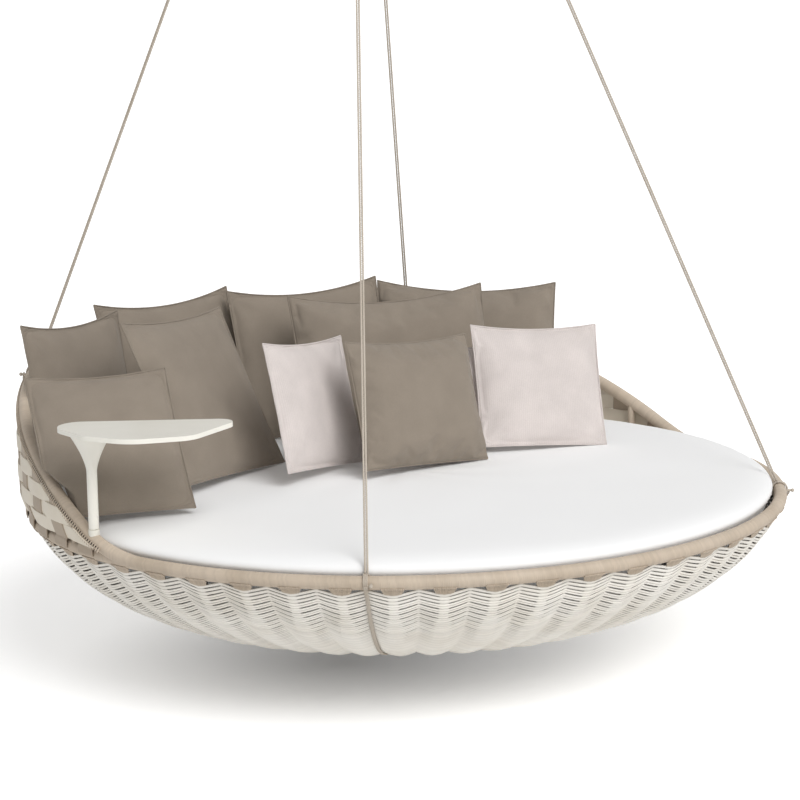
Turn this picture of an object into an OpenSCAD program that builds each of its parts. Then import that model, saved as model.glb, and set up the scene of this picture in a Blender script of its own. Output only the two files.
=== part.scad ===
// Hanging swing bed: a round wicker bowl on a tube ring with a raised back arch,
// four rope lines up to one ceiling swivel, a mattress, cushions and a swing-out table.
// Millimetres. Origin: centre of the ceiling plate's top face, +Z up, bed front towards -Y.

/* [Suspension] */
// Height from the middle of the lower ring up to the ceiling face
hang_h = 2640; // [2400:10:3000]
// How far the hanging point lies behind the middle of the lower ring
apex_back = 135; // [120:5:170]
// Radius of the ring that the four ropes hang from
hang_ring_r = 40; // [36:1:46]
// Wire radius of that ring
hang_wire_r = 7; // [6:0.5:8]
// Radius of one rope strand
strand_r = 2.75; // [2.25:0.25:3]
// Clear gap between the two strands of a line
strand_gap = 0.2; // [0.1:0.1:0.6]
// Angle of the front lines from the front, seen from above
rope_front_a = 46.8; // [39.6:7.2:54]
// Angle of the back lines from the front, seen from above
rope_back_a = 138.3; // [132:0.5:142]
// Length of a rope ferrule
ferrule_l = 30; // [24:1:40]
// Wall of a rope ferrule
ferrule_wall = 2.8; // [1.5:0.1:4]
// Width of the lashing where a line meets a tube
lash_w = 16.5; // [12:0.5:24]
// Thickness of the lashing round the tube
lash_t = 5.5; // [3:0.5:7]
// Width of the flat sling under the bowl
sling_w = 11; // [8:0.5:14]
// Thickness of the flat sling
sling_t = 5.5; // [3:0.5:6]

/* [Ceiling swivel] */
// Diameter of the ceiling plate
plate_d = 140; // [120:1:170]
// Thickness of the ceiling plate
plate_t = 8; // [6:0.5:12]
// Diameter of the boss under the plate
boss_d = 50; // [46:1:60]
// Depth of the whole plate with its boss
boss_z = 38; // [34:1:46]
// Diameter of the recess that takes the bolt head
recess_d = 42; // [38:1:44]
// Depth of that recess
recess_z = 14; // [12:0.5:16]
// Pitch circle of the ceiling fixing holes
fix_pcd = 108; // [90:1:116]
// Diameter of a ceiling fixing hole
fix_d = 9; // [7:0.5:11]
// Diameter of the swivel bolt
bolt_d = 16; // [14:0.5:18]
// Diameter of the swivel bolt's head
bolt_head_d = 30; // [26:1:34]
// Wall of the swivel bush
bush_wall = 3.95; // [2.5:0.05:5]
// Diameter of a hinge pin
pin_d = 14; // [12:0.5:16]
// Outer radius of the eyes and ears on a hinge pin
eye_r = 17; // [15:0.5:19]
// Width of the link between the ears
link_w = 24; // [20:1:28]
// Thickness of a fork ear
ear_t = 12; // [8:0.5:14]
// Distance between the two hinge axes
hinge_gap = 50; // [44:1:60]
// Diameter of the stem under the lower fork
stem_d = 24; // [20:1:28]

/* [Frame] */
// Centre-line radius of the lower ring
ring_r = 960; // [940:5:1000]
// Outer radius of the steel tubes
tube_r = 15; // [13:0.5:16]
// Wall of the ring tube
tube_wall = 2; // [1.5:0.25:3]
// Thickness of the wicker wound round the tubes
wrap_t = 2; // [1:0.25:3]
// How far the arch stands outside the ring's centre line
arch_out = 12; // [9:0.5:14]
// Height of the arch at the back, centre line
arch_h = 372; // [330:2:400]
// How far forward of the middle the arch meets the ring
arch_front = 45; // [30:1:70]
// Fullness of the arch's curve
arch_power = 1.36; // [1.2:0.02:1.6]
// Radius of an arch strut
strut_r = 9; // [7:0.5:10]
// Number of rib bars in the bowl
rib_count = 10; // [8:2:14]
// Thickness of a rib bar
rib_t = 8; // [6:0.5:12]
// Depth of a rib bar
rib_d = 8; // [6:0.5:9]
// Radius of the hub plate at the bottom
hub_r = 120; // [100:5:140]
// Thickness of the hub plate
hub_t = 8.5; // [6:0.5:10]
// Clearance between the deck hoop and the inside of the weave
hoop_gap = 8.5; // [6:0.5:14]
// Wire radius of the deck hoop
hoop_wire_r = 9; // [7:0.5:10]
// Width of one deck strap
strap_w = 80; // [60:1:100]
// Pitch of the deck straps
strap_pitch = 160; // [140:1:180]
// Thickness of a deck strap
strap_t = 3; // [2:0.5:4]

/* [Wicker] */
// Depth of the bowl below the ring's centre
bowl_d = 307; // [290:1:330]
// Fullness of the bowl's side
bowl_side = 0.512; // [0.46:0.002:0.54]
// Fullness of the bowl's bottom
bowl_base = 1.466; // [1.4:0.002:1.56]
// Number of flutes round the bowl
flute_n = 50; // [40:2:60]
// Depth of a flute at its deepest
flute_depth = 12; // [6:0.5:13]
// Thickness of the woven wall
weave_t = 5; // [4:0.5:7]
// Height of one horizontal band of the back wall
band_h = 37; // [30:1:38]
// Pitch of the horizontal bands
band_pitch = 38.5; // [38.5:0.5:46]
// Thickness of a band
band_t = 3; // [2:0.25:3]
// Width of a vertical band
upright_w = 60; // [44:1:70]
// Angle between vertical bands
upright_step = 7.2; // [6:0.4:8]

/* [Mattress] */
// Clearance between the mattress at its widest and the wound ring
mattress_play = 2; // [1:0.5:7]
// Height of the mattress crown above the ring's centre
mattress_crown = 64; // [58:1:75]
// Depth of the mattress below the ring's centre
mattress_low = 98; // [92:1:102]

/* [Table] */
// Angle of the table post from the front, seen from above
table_a = -91.8; // [-95:0.1:-91]
// Height of the table's top face above the ring's centre
table_z = 312; // [300:1:325]
// Thickness of the table top
table_t = 11.5; // [9:0.5:14]
// Diameter of the table post
post_d = 27.5; // [25:0.5:32]
// Diameter of the post's flared head
flare_d = 90; // [80:1:100]
// Height of the flare
flare_h = 72; // [60:1:80]
// Radius of the table's outline at the post
table_end_r = 60; // [56:1:70]
// Radius of the table's outline at the far tip
table_tip_r = 38; // [30:1:45]
// Radius of the table's full near edge
table_belly_r = 115; // [105:1:125]
// Diameter of the pin that the table turns on
table_pin_d = 14; // [12:0.5:15]
// Length of that pin
table_pin_l = 60; // [45:1:75]
// Reach of the table from the post to its far tip
table_reach = 339; // [300:1:360]
// Direction of the table from the post, seen from above
table_turn_a = -41; // [-50:1:-30]

/* [Cushions] */
// Thickness of a taupe cushion at its middle
cushion_t = 118; // [90:1:122]
// Thickness of a light cushion at its middle
light_cushion_t = 104; // [80:1:108]
// Share by which cushion sides are drawn in
draw_in = 0.06; // [0.03:0.01:0.09]

/* [Hidden] */
$fn = 96;
// Steps round the shapes as wide as the bed
round_fn = 360;
band_fn = 150;

steel = [0.74, 0.73, 0.71];
cream = [0.90, 0.88, 0.82];
beige = [0.77, 0.70, 0.62];
taupe = [0.56, 0.52, 0.47];
light = [0.84, 0.81, 0.79];

play = 0.3;
run = 0.05;
seat = 0.05;
wound_r = tube_r + wrap_t;
mattress_r = ring_r - wound_r - mattress_play;
// The cushions' places were set for a ring of this radius and spread with it
spread = ring_r / 960;

// Heights in the ceiling frame
bush_flange_t = 3;
washer_t = 3;
fork_top = -boss_z - bush_flange_t - play;
fork_block_h = 20;
fork_block_d = 2 * (link_w / 2 + play + ear_t) + 3.4;
pivot_clear = 9.7;
pivot_1 = fork_top - fork_block_h - eye_r - pivot_clear;
pivot_2 = pivot_1 - hinge_gap;
yoke_block_top = pivot_2 - eye_r - pivot_clear - 1.3;
yoke_block_h = 18;
hub_h = 16;
nut_h = 12;
nut_af = 36;
hang_ring_z = pivot_2 - 87;
stem_end = hang_ring_z - hub_h / 2 - nut_h;
ear_in = link_w / 2 + play;
ear_out = ear_in + ear_t;
pin_head_t = 5;
pin_head_d = pin_d + 8;
clip_t = 4;

// Arch and bowl in the bed frame, whose origin is the middle of the lower ring
arch_r = ring_r + arch_out;
arch_a0 = acos(arch_front / arch_r);
function around(r, a, z) = [r * sin(a), -r * cos(a), z];
function arch_s(a) = max(0, (arch_front - arch_r * cos(a)) / (arch_r + arch_front));
function arch_z(a) = arch_h * (1 - pow(1 - arch_s(a), arch_power));
function arch_pt(a) = around(arch_r, a, arch_z(a));
function unit(v) = v / norm(v);
function arch_dir(a) = unit(arch_pt(a + 0.2) - arch_pt(a - 0.2));
function arch_slope(a) = asin(arch_dir(a)[2]);

bowl_r = ring_r + 8;
bowl_t0 = asin(pow(wound_r / bowl_d, 1 / bowl_base));
function bowl(t) = [bowl_r * pow(max(0, cos(t)), bowl_side), -bowl_d * pow(sin(t), bowl_base)];
function bowl_r_at(depth) = bowl_r * pow(cos(asin(pow(depth / bowl_d, 1 / bowl_base))), bowl_side);
hoop_z = mattress_low + strap_t + hoop_wire_r;
hoop_r = bowl_r_at(hoop_z + hoop_wire_r) - flute_depth - weave_t - hoop_wire_r - hoop_gap;
function bowl_dir(t) = t > 89 ? [-1, 0] : unit(bowl(t + 0.3) - bowl(t - 0.3));
function bowl_off(t, d) = bowl(t) + d * [-bowl_dir(t)[1], bowl_dir(t)[0]];

// Swept shapes
function circle_pts(r, m) = [for (j = [0:m - 1]) [r * cos(360 * j / m), r * sin(360 * j / m)]];
function oval_pts(w, t, m) = [for (j = [0:m - 1]) [w / 2 * cos(360 * (j + 0.5) / m), t / 2 * sin(360 * (j + 0.5) / m)] / cos(180 / m)];
function path_dir(p, i) = unit(p[min(i + 1, len(p) - 1)] - p[max(i - 1, 0)]);
function square_to(e, d) = unit(e - (e * d) * d);
function station(c, d, e, prof) = let (n = cross(d, e)) [for (q = prof) c + q[0] * e + q[1] * n];
function sweep_pts(path, sides, prof) = [
  for (i = [0:len(path) - 1])
    let (d = path_dir(path, i))
    each station(path[i], d, square_to(sides[i], d), prof)
];
function wall_faces(n, m) = [
  for (i = [0:n - 2]) for (j = [0:m - 1])
    let (k = (j + 1) % m)
    each [[i * m + j, (i + 1) * m + k, i * m + k], [i * m + j, (i + 1) * m + j, (i + 1) * m + k]]
];
function cap_faces(n, m) = [
  for (j = [1:m - 2]) each [[0, j, j + 1], [(n - 1) * m, (n - 1) * m + j + 1, (n - 1) * m + j]]
];

module sweep(path, sides, prof) {
  polyhedron(
    points = sweep_pts(path, sides, prof),
    faces = concat(wall_faces(len(path), len(prof)), cap_faces(len(path), len(prof))),
    convexity = 10
  );
}

// A swept pipe with a wall, for what is wound round a tube
module sweep_pipe(path, sides, r_out, r_in, m) {
  n = len(path);
  outer = sweep_pts(path, sides, circle_pts(r_out, m));
  inner = sweep_pts(path, sides, circle_pts(r_in, m));
  base = n * m;
  last = (n - 1) * m;
  inner_walls = [for (f = wall_faces(n, m)) [f[2] + base, f[1] + base, f[0] + base]];
  ends = [
    for (j = [0:m - 1])
      let (k = (j + 1) % m)
      each [
        [j, k, k + base], [j, k + base, j + base],
        [last + j, last + k + base, last + k], [last + j, last + j + base, last + k + base]
      ]
  ];
  polyhedron(points = concat(outer, inner), faces = concat(wall_faces(n, m), inner_walls, ends), convexity = 10);
}

module bed_frame() {
  translate([0, -apex_back, -hang_h]) children();
}

module torus(major, minor) {
  rotate_extrude($fn = major > ring_r / 2 ? round_fn : 96) translate([major, 0]) circle(r = minor, $fn = 32);
}

// A cylinder whose axis runs through a point along a direction
module along(p, d, r, l) {
  translate(p)
    rotate([0, acos(d[2]), atan2(d[1], d[0])])
      cylinder(r = r, h = l, center = true, $fn = 48);
}

// ---------------------------------------------------------------- ceiling swivel

module ceiling_plate() {
  color(steel) difference() {
    union() {
      translate([0, 0, -plate_t]) cylinder(d = plate_d, h = plate_t);
      translate([0, 0, -boss_z]) cylinder(d = boss_d, h = boss_z);
    }
    translate([0, 0, -recess_z]) cylinder(d = recess_d, h = recess_z + 1);
    translate([0, 0, -boss_z - 1]) cylinder(d = bolt_d + 2 * run + 2 * bush_wall, h = boss_z);
    for (a = [45:90:315])
      rotate([0, 0, a]) translate([fix_pcd / 2, 0, -plate_t - 1]) cylinder(d = fix_d, h = plate_t + 2, $fn = 48);
  }
}

module swivel_bush() {
  color(beige) difference() {
    union() {
      translate([0, 0, -boss_z]) cylinder(r = bolt_d / 2 + run + bush_wall, h = boss_z - recess_z);
      translate([0, 0, -boss_z - bush_flange_t]) cylinder(r = bolt_d / 2 + run + bush_wall + 6, h = bush_flange_t);
    }
    translate([0, 0, -boss_z - bush_flange_t - 1]) cylinder(r = bolt_d / 2 + run, h = boss_z);
  }
}

module thrust_washer() {
  color(steel) translate([0, 0, -recess_z]) difference() {
    cylinder(d = bolt_head_d + 4, h = washer_t);
    translate([0, 0, -1]) cylinder(r = bolt_d / 2 + play, h = washer_t + 2);
  }
}

module swivel_bolt() {
  head_z = -recess_z + washer_t + play;
  color(steel) union() {
    translate([0, 0, head_z]) cylinder(d = bolt_head_d, h = 7.7);
    translate([0, 0, fork_top - fork_block_h]) cylinder(d = bolt_d, h = head_z - fork_top + fork_block_h + 1);
  }
}

// Two ears with a round end at the pin, square to the pin along X
module ears(top_z, bottom_z, pin_z) {
  for (s = [-1, 1]) {
    translate([s * (ear_in + ear_out) / 2, 0, pin_z])
      rotate([0, 90, 0]) cylinder(r = eye_r, h = ear_t, center = true);
    translate([s > 0 ? ear_in : -ear_out, -eye_r, bottom_z])
      cube([ear_t, 2 * eye_r, top_z - bottom_z]);
  }
}

module swivel_fork() {
  color(steel) difference() {
    union() {
      translate([0, 0, fork_top - fork_block_h]) cylinder(d = fork_block_d, h = fork_block_h);
      intersection() {
        ears(fork_top - fork_block_h + 1, pivot_1, pivot_1);
        translate([0, 0, pivot_1 - eye_r - 1]) cylinder(r = ear_out + eye_r, h = hinge_gap + eye_r);
      }
    }
    translate([0, 0, fork_top - fork_block_h - 1]) cylinder(d = bolt_d, h = fork_block_h + 2);
    translate([0, 0, pivot_1]) rotate([0, 90, 0]) cylinder(d = pin_d, h = 4 * ear_out, center = true);
  }
}

// A hinge pin with its head at the +X end and a groove-free tail at the other
module hinge_pin() {
  tail = ear_out + clip_t + 2;
  rotate([0, 90, 0]) union() {
    translate([0, 0, -tail]) cylinder(d = pin_d, h = tail + ear_out);
    translate([0, 0, ear_out]) cylinder(d = pin_head_d, h = pin_head_t);
  }
}

module pin_clip() {
  rotate([0, 90, 0]) translate([0, 0, -ear_out - clip_t]) difference() {
    cylinder(d = pin_head_d, h = clip_t);
    translate([0, 0, -1]) cylinder(d = pin_d, h = clip_t + 2);
  }
}

module fore_aft_pin() {
  color(steel) translate([0, 0, pivot_1]) hinge_pin();
}

module fore_aft_clip() {
  color(steel) translate([0, 0, pivot_1]) pin_clip();
}

module hanger_link() {
  color(steel) difference() {
    union() {
      translate([0, 0, pivot_1]) rotate([0, 90, 0]) cylinder(r = eye_r, h = link_w, center = true);
      translate([0, 0, pivot_2]) rotate([90, 0, 0]) cylinder(r = eye_r, h = link_w, center = true);
      translate([-link_w / 2, -link_w / 2, pivot_2]) cube([link_w, link_w, hinge_gap]);
    }
    translate([0, 0, pivot_1]) rotate([0, 90, 0]) cylinder(d = pin_d + 2 * run, h = 2 * link_w, center = true);
    translate([0, 0, pivot_2]) rotate([90, 0, 0]) cylinder(d = pin_d + 2 * run, h = 2 * link_w, center = true);
  }
}

module hanger_yoke() {
  color(steel) difference() {
    union() {
      translate([0, 0, yoke_block_top - yoke_block_h]) cylinder(d = fork_block_d, h = yoke_block_h);
      rotate([0, 0, 90]) ears(pivot_2, yoke_block_top - 1, pivot_2);
      translate([0, 0, stem_end]) cylinder(d = stem_d, h = yoke_block_top - stem_end - 1);
    }
    translate([0, 0, pivot_2]) rotate([90, 0, 0]) cylinder(d = pin_d, h = 4 * ear_out, center = true);
  }
}

module side_pin() {
  color(steel) translate([0, 0, pivot_2]) rotate([0, 0, 90]) hinge_pin();
}

module side_clip() {
  color(steel) translate([0, 0, pivot_2]) rotate([0, 0, 90]) pin_clip();
}

module hanging_ring() {
  color(steel) translate([0, 0, hang_ring_z]) difference() {
    union() {
      torus(hang_ring_r, hang_wire_r);
      cylinder(d = stem_d + 16, h = hub_h, center = true);
      for (a = [0:90:270])
        rotate([0, 0, a]) rotate([0, 90, 0]) cylinder(r = hang_wire_r - 1, h = hang_ring_r, $fn = 48);
    }
    cylinder(d = stem_d, h = 3 * hub_h, center = true);
  }
}

module ring_nut() {
  color(steel) translate([0, 0, stem_end]) difference() {
    cylinder(r = nut_af / sqrt(3), h = nut_h, $fn = 6);
    translate([0, 0, -1]) cylinder(d = stem_d, h = nut_h + 2);
  }
}

// ---------------------------------------------------------------- rope lines

// Landing points on the tubes, and the rope's upper ends on the hanging ring, in the bed frame
hook_c = [0, apex_back, hang_h + hang_ring_z];
function landing(back, s) = back ? arch_pt(s * rope_back_a) : around(ring_r, s * rope_front_a, 0);
function landing_dir(back, s) = back ? arch_dir(s * rope_back_a) : around(1, s * rope_front_a + 90, 0);
function flat(v) = [v[0], v[1], 0];
function hook_pt(back, s) = hook_c + hang_ring_r * unit(flat(landing(back, s) - hook_c));
function rope_dir(back, s) = unit(landing(back, s) - hook_pt(back, s));

thimble_in = hang_wire_r + 0.6;
thimble_out = thimble_in + 3.4;
thimble_w = 9;
thimble_lip = 2;
eye_major = thimble_out + 0.15 + strand_r;
strand_x = strand_r + strand_gap / 2;
ferrule_z = 48;
lash_out = wound_r + 0.1 + lash_t;

// Places children with +Z down a line from the hanging ring and Y along the ring's wire
module rope_frame(back, s) {
  d = rope_dir(back, s);
  translate(hook_pt(back, s))
    rotate([0, 0, atan2(d[1], d[0])]) rotate([0, acos(d[2]), 0]) children();
}

// One hairpin of rope: up one strand, round the thimble and down the other
module rope_line(back, s) {
  l = norm(landing(back, s) - hook_pt(back, s)) - lash_out - 0.4;
  reach = norm([strand_x, ferrule_z]);
  tan_a = atan2(ferrule_z, strand_x) - acos(eye_major / reach);
  turn = strand_x / cos(11.25);
  half = concat(
    [[0, strand_x, l], [0, strand_x, ferrule_z + ferrule_l]],
    [for (k = [1:3]) [turn * sin(22.5 * k), turn * cos(22.5 * k), ferrule_z + ferrule_l * (1 - k / 4)]],
    [[strand_x, 0, ferrule_z]],
    [for (k = [0:5]) let (a = tan_a - k * (90 + tan_a) / 6) [eye_major * cos(a), 0, eye_major * sin(a)]]
  );
  other = [for (i = [len(half) - 1:-1:0]) [-half[i][0], -half[i][1], half[i][2]]];
  path = concat(half, [[0, 0, -eye_major]], other);
  sides = [for (i = [0:len(path) - 1]) path_side(path, i)];
  color(cream) bed_frame() rope_frame(back, s) sweep(path, sides, circle_pts(strand_r, 8));
}
function path_side(p, i) = i < 6 ? [1, 0, 0] : i > len(p) - 7 ? [-1, 0, 0] : [0, 1, 0];

module rope_front_left() rope_line(false, -1);
module rope_front_right() rope_line(false, 1);
module rope_back_left() rope_line(true, -1);
module rope_back_right() rope_line(true, 1);

module each_line() {
  for (back = [false, true]) for (s = [-1, 1]) rope_frame(back, s) children();
}

module rope_thimbles() {
  h = thimble_w / 2;
  color(steel) bed_frame() each_line() rotate([90, 0, 0]) rotate_extrude()
    polygon([
      [thimble_in, -h], [thimble_out + thimble_lip, -h], [thimble_out + thimble_lip, -h + 1.2],
      [thimble_out, -1], [thimble_out, 1],
      [thimble_out + thimble_lip, h - 1.2], [thimble_out + thimble_lip, h], [thimble_in, h]
    ]);
}

module rope_ferrules() {
  bore = strand_x + strand_r + 0.25;
  color(steel) bed_frame() each_line() translate([0, 0, ferrule_z]) difference() {
    cylinder(r = bore + ferrule_wall, h = ferrule_l);
    translate([0, 0, -1]) cylinder(r = bore, h = ferrule_l + 2);
  }
}

module rope_lashings() {
  color(cream) bed_frame() for (back = [false, true]) for (s = [-1, 1]) difference() {
    along(landing(back, s), landing_dir(back, s), lash_out, lash_w);
    along(landing(back, s), landing_dir(back, s), wound_r + 0.1, lash_w + 2);
    if (back) intersection() {
      rotate_extrude($fn = round_fn) translate([band_r - 0.2, 0]) square([2 * band_t + 0.4, arch_h]);
      under_arch(0);
    } else rotate_extrude($fn = round_fn)
      translate([ring_r - lash_out - 1, -lash_out - 1]) square([lash_out + 4.5, lash_out + 0.9 - wound_r]);
  }
}

// Short pegs beside the lashings, which keep the slings from sliding round the tube
peg_r = 3;
peg_l = 19;
peg_side = lash_w / 2 + peg_r + 2;
module sling_pegs() {
  color(cream) bed_frame() for (back = [false, true]) for (s = [-1, 1]) {
    a = s * (back ? rope_back_a : rope_front_a);
    r = back ? arch_r : ring_r;
    shift = -s * peg_side / r * 180 / PI;
    p = around(r, a + shift, back ? arch_z(a + shift) : 0);
    translate(p) rotate([0, 0, a + shift - 90]) rotate([0, 90, 0]) {
      translate([0, 0, wound_r]) cylinder(r = peg_r, h = peg_l - peg_r, $fn = 48);
      translate([0, 0, wound_r + peg_l - peg_r]) sphere(r = peg_r * 1.6, $fn = 48);
    }
  }
}

// A sling runs from the front lashing down a crease, under the bowl and up to the back lashing
sling_off = sling_t / 2 + 0.6;
sling_ts = [14, 17, 21, 26, 32, 39, 47, 55, 63, 70, 76, 81, 85, 88];
function sling_low(r, drop) = drop * exp(-pow(r / 90, 2));
function sling_rz(t, drop) = let (p = bowl_off(t, sling_off)) [p[0], p[1] - sling_low(p[0], drop)];
function sling_path(s, drop) = let (
  r_tube = lash_out + sling_t / 2 + 0.6,
  wall = arch_r + 3 + 2 * band_t + sling_t / 2 + 0.9,
  za = arch_z(rope_back_a)
) concat(
  [for (q = [[ring_r + r_tube * cos(12), -r_tube * sin(12)], [ring_r + r_tube * cos(40), -r_tube * sin(40)]])
    around(q[0], -s * rope_front_a, q[1])],
  [for (t = sling_ts) let (q = sling_rz(t, drop)) around(q[0], -s * rope_front_a, q[1])],
  [[0, 0, -bowl_d - sling_off - drop]],
  [for (i = [len(sling_ts) - 1:-1:0]) let (q = sling_rz(sling_ts[i], drop)) around(q[0], s * rope_back_a, q[1])],
  [for (q = [[wall, -wound_r / 2], [wall, wound_r], [wall, 0.45 * za], [wall, 0.75 * za],
      [arch_r + r_tube * cos(38), za - r_tube * sin(38)], [arch_r + r_tube * cos(10), za - r_tube * sin(10)]])
    around(q[0], s * rope_back_a, q[1])]
);
module sling(s, drop) {
  path = sling_path(s, drop);
  mid = 2 + len(sling_ts);
  sides = [
    for (i = [0:len(path) - 1])
      i < mid ? around(1, -s * rope_front_a - 90, 0) : around(1, s * rope_back_a + 90, 0)
  ];
  sweep(path, sides, oval_pts(sling_w, sling_t, 8));
}

module sling_left() {
  color(cream) bed_frame() sling(1, 0);
}

module sling_right() {
  color(cream) bed_frame() sling(-1, sling_t * 1.1 + 0.8);
}

// ---------------------------------------------------------------- frame

module lower_ring() {
  color(steel) bed_frame() rotate_extrude($fn = round_fn) translate([ring_r, 0]) difference() {
    circle(r = tube_r, $fn = 32);
    circle(r = tube_r - tube_wall, $fn = 32);
  }
}

module ring_wrap() {
  color(beige) bed_frame() rotate_extrude($fn = round_fn) translate([ring_r, 0]) difference() {
    circle(r = wound_r, $fn = 32);
    circle(r = tube_r, $fn = 32);
  }
}

arch_steps = 40;
arch_path = [for (i = [0:arch_steps]) arch_pt(arch_a0 + i * (360 - 2 * arch_a0) / arch_steps)];
arch_sides = [for (i = [0:arch_steps]) around(1, arch_a0 + i * (360 - 2 * arch_a0) / arch_steps, 0)];

module back_arch() {
  color(steel) bed_frame() difference() {
    sweep(arch_path, arch_sides, circle_pts(tube_r, 10));
    torus(ring_r, wound_r + seat);
  }
}

module arch_wrap() {
  color(beige) bed_frame() difference() {
    sweep_pipe(arch_path, arch_sides, wound_r, tube_r, 10);
    torus(ring_r, wound_r + seat);
  }
}

strut_gap = 0.5;
strut_a = [98, 122, 146, 170];
module arch_struts() {
  color(steel) bed_frame() for (a = strut_a) for (s = [-1, 1]) difference() {
    translate(around(band_r - play - strut_r, s * a, 0)) cylinder(r = strut_r, h = arch_z(a), $fn = 48);
    torus(ring_r, wound_r + seat);
    translate(arch_pt(s * a)) rotate([0, 0, s * a]) rotate([0, -s * arch_slope(a), 0])
      translate([-arch_h / 2, -arch_h / 2, -wound_r - strut_gap]) cube(arch_h);
  }
}

rib_off = flute_depth + weave_t + 3;
rib_t1 = acos(pow(hub_r / bowl_r, 1 / bowl_side));
rib_steps = 12;
function rib_side(d) = [
  for (i = [0:rib_steps])
    let (t = 9 + (rib_t1 - 9) * (1 - pow(1 - i / rib_steps, 1.4)), p = bowl_off(t, -d))
    [max(p[0], hub_r), p[1]]
];
module bowl_ribs() {
  top = [
    [ring_r - wound_r - 5, -0.3 * wound_r], [ring_r - 0.5 * wound_r, -0.3 * wound_r],
    [ring_r - 0.5 * wound_r, -wound_r - 2]
  ];
  color(steel) bed_frame() difference() {
    for (i = [0:rib_count - 1])
      rotate([0, 0, (i + 0.5) * 360 / rib_count]) rotate([90, 0, 0])
        translate([0, 0, -rib_t / 2]) linear_extrude(rib_t)
          polygon(concat(top, rib_side(rib_off), [for (i = [rib_steps:-1:0]) rib_side(rib_off + rib_d)[i]]));
    torus(ring_r, wound_r + seat);
    translate([0, 0, -hoop_z]) torus(hoop_r, hoop_wire_r + seat);
  }
}

module base_hub() {
  color(steel) bed_frame() translate([0, 0, bowl_off(rib_t1, -rib_off)[1] - 2]) cylinder(r = hub_r - 0.01, h = hub_t);
}

module deck_hoop() {
  color(steel) bed_frame() translate([0, 0, -hoop_z]) torus(hoop_r, hoop_wire_r);
}

module deck_webbing() {
  n = floor(hoop_r / strap_pitch);
  color(taupe) bed_frame() translate([0, 0, -mattress_low - strap_t]) intersection() {
    cylinder(r = hoop_r + 4, h = strap_t, $fn = round_fn);
    for (k = [-n:n]) union() {
      translate([k * strap_pitch - strap_w / 2, -ring_r, 0]) cube([strap_w, 2 * ring_r, strap_t]);
      translate([-ring_r, k * strap_pitch - strap_w / 2, 0]) cube([2 * ring_r, strap_w, strap_t]);
    }
  }
}

// ---------------------------------------------------------------- wicker

// The bowl: a closed woven shell whose outside is scalloped into upright flutes
bowl_rows = 11;
flute_parts = 4;
function row_t(i) = bowl_t0 + (90 - bowl_t0) * pow(i / bowl_rows, 0.9);
function flute_f(i) = flute_depth * (0.35 + 0.65 * sin(180 * pow(i / bowl_rows, 0.8)));
function flute_in(a) = 1 - abs(cos(180 * a * flute_n / 360));
module lower_weave() {
  na = flute_n * flute_parts;
  ni = flute_n;
  outer = [
    for (i = [0:bowl_rows - 1]) for (j = [0:na - 1])
      let (a = j * 360 / na, p = bowl_off(row_t(i), -flute_f(i) * flute_in(a)))
      around(p[0], a, min(p[1], -wound_r - seat))
  ];
  inner = [
    for (i = [0:bowl_rows - 1]) for (j = [0:ni - 1])
      let (p = bowl_off(row_t(i), -flute_f(i) - weave_t))
      around(p[0], j * 360 / ni, i == 0 ? -wound_r - seat : p[1])
  ];
  base = len(outer);
  tip_out = base + len(inner);
  tip_in = tip_out + 1;
  walls = [
    for (i = [0:bowl_rows - 2]) for (j = [0:na - 1])
      let (k = (j + 1) % na)
      each [[i * na + j, i * na + k, (i + 1) * na + k], [i * na + j, (i + 1) * na + k, (i + 1) * na + j]]
  ];
  lining = [
    for (i = [0:bowl_rows - 2]) for (j = [0:ni - 1])
      let (k = (j + 1) % ni)
      each [
        [base + i * ni + j, base + (i + 1) * ni + k, base + i * ni + k],
        [base + i * ni + j, base + (i + 1) * ni + j, base + (i + 1) * ni + k]
      ]
  ];
  bottom = [for (j = [0:na - 1]) [(bowl_rows - 1) * na + j, (bowl_rows - 1) * na + (j + 1) % na, tip_out]];
  floor_in = [for (j = [0:ni - 1]) [base + (bowl_rows - 1) * ni + (j + 1) % ni, base + (bowl_rows - 1) * ni + j, tip_in]];
  rim = [
    for (j = [0:ni - 1])
      let (o = j * flute_parts, b0 = base + j, b1 = base + (j + 1) % ni, h = floor(flute_parts / 2))
      each concat(
        [for (q = [0:h - 1]) [o + q, b0, o + q + 1]],
        [[o + h, b0, b1]],
        [for (q = [h:flute_parts - 1]) [o + q, b1, (o + q + 1) % na]]
      )
  ];
  color(cream) bed_frame() polyhedron(
    points = concat(outer, inner, [[0, 0, -bowl_d], [0, 0, -bowl_d + flute_f(bowl_rows) + weave_t]]),
    faces = concat(walls, lining, bottom, floor_in, rim),
    convexity = 20
  );
}

// The space under the arch, seen from the side, that the back wall fills
module under_arch(gap) {
  n = 30;
  pts = [
    for (i = [0:n])
      let (a = arch_a0 + i * (180 - arch_a0) / n, c = cos(arch_slope(a)))
      [-arch_r * cos(a), arch_z(a) - (wound_r + gap) / max(0.5, c)]
  ];
  far = 2 * arch_r;
  rotate([90, 0, 90]) translate([0, 0, -far / 2]) linear_extrude(far)
    polygon(concat([[far, -wound_r]], [[-arch_front - 40, -wound_r]], pts, [[far, arch_h - wound_r - gap]]));
}

band_r = arch_r + play;
band_z0 = wound_r + 4;
module back_bands_horizontal() {
  rows = floor((arch_h - wound_r - band_z0) / band_pitch) + 1;
  color(cream) bed_frame() intersection() {
    union() for (i = [0:rows - 1]) translate([0, 0, band_z0 + i * band_pitch])
      rotate_extrude($fn = band_fn) translate([(band_r + band_t) / cos(180 / band_fn), 0]) square([band_t, band_h]);
    under_arch(0.4);
  }
}

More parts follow.
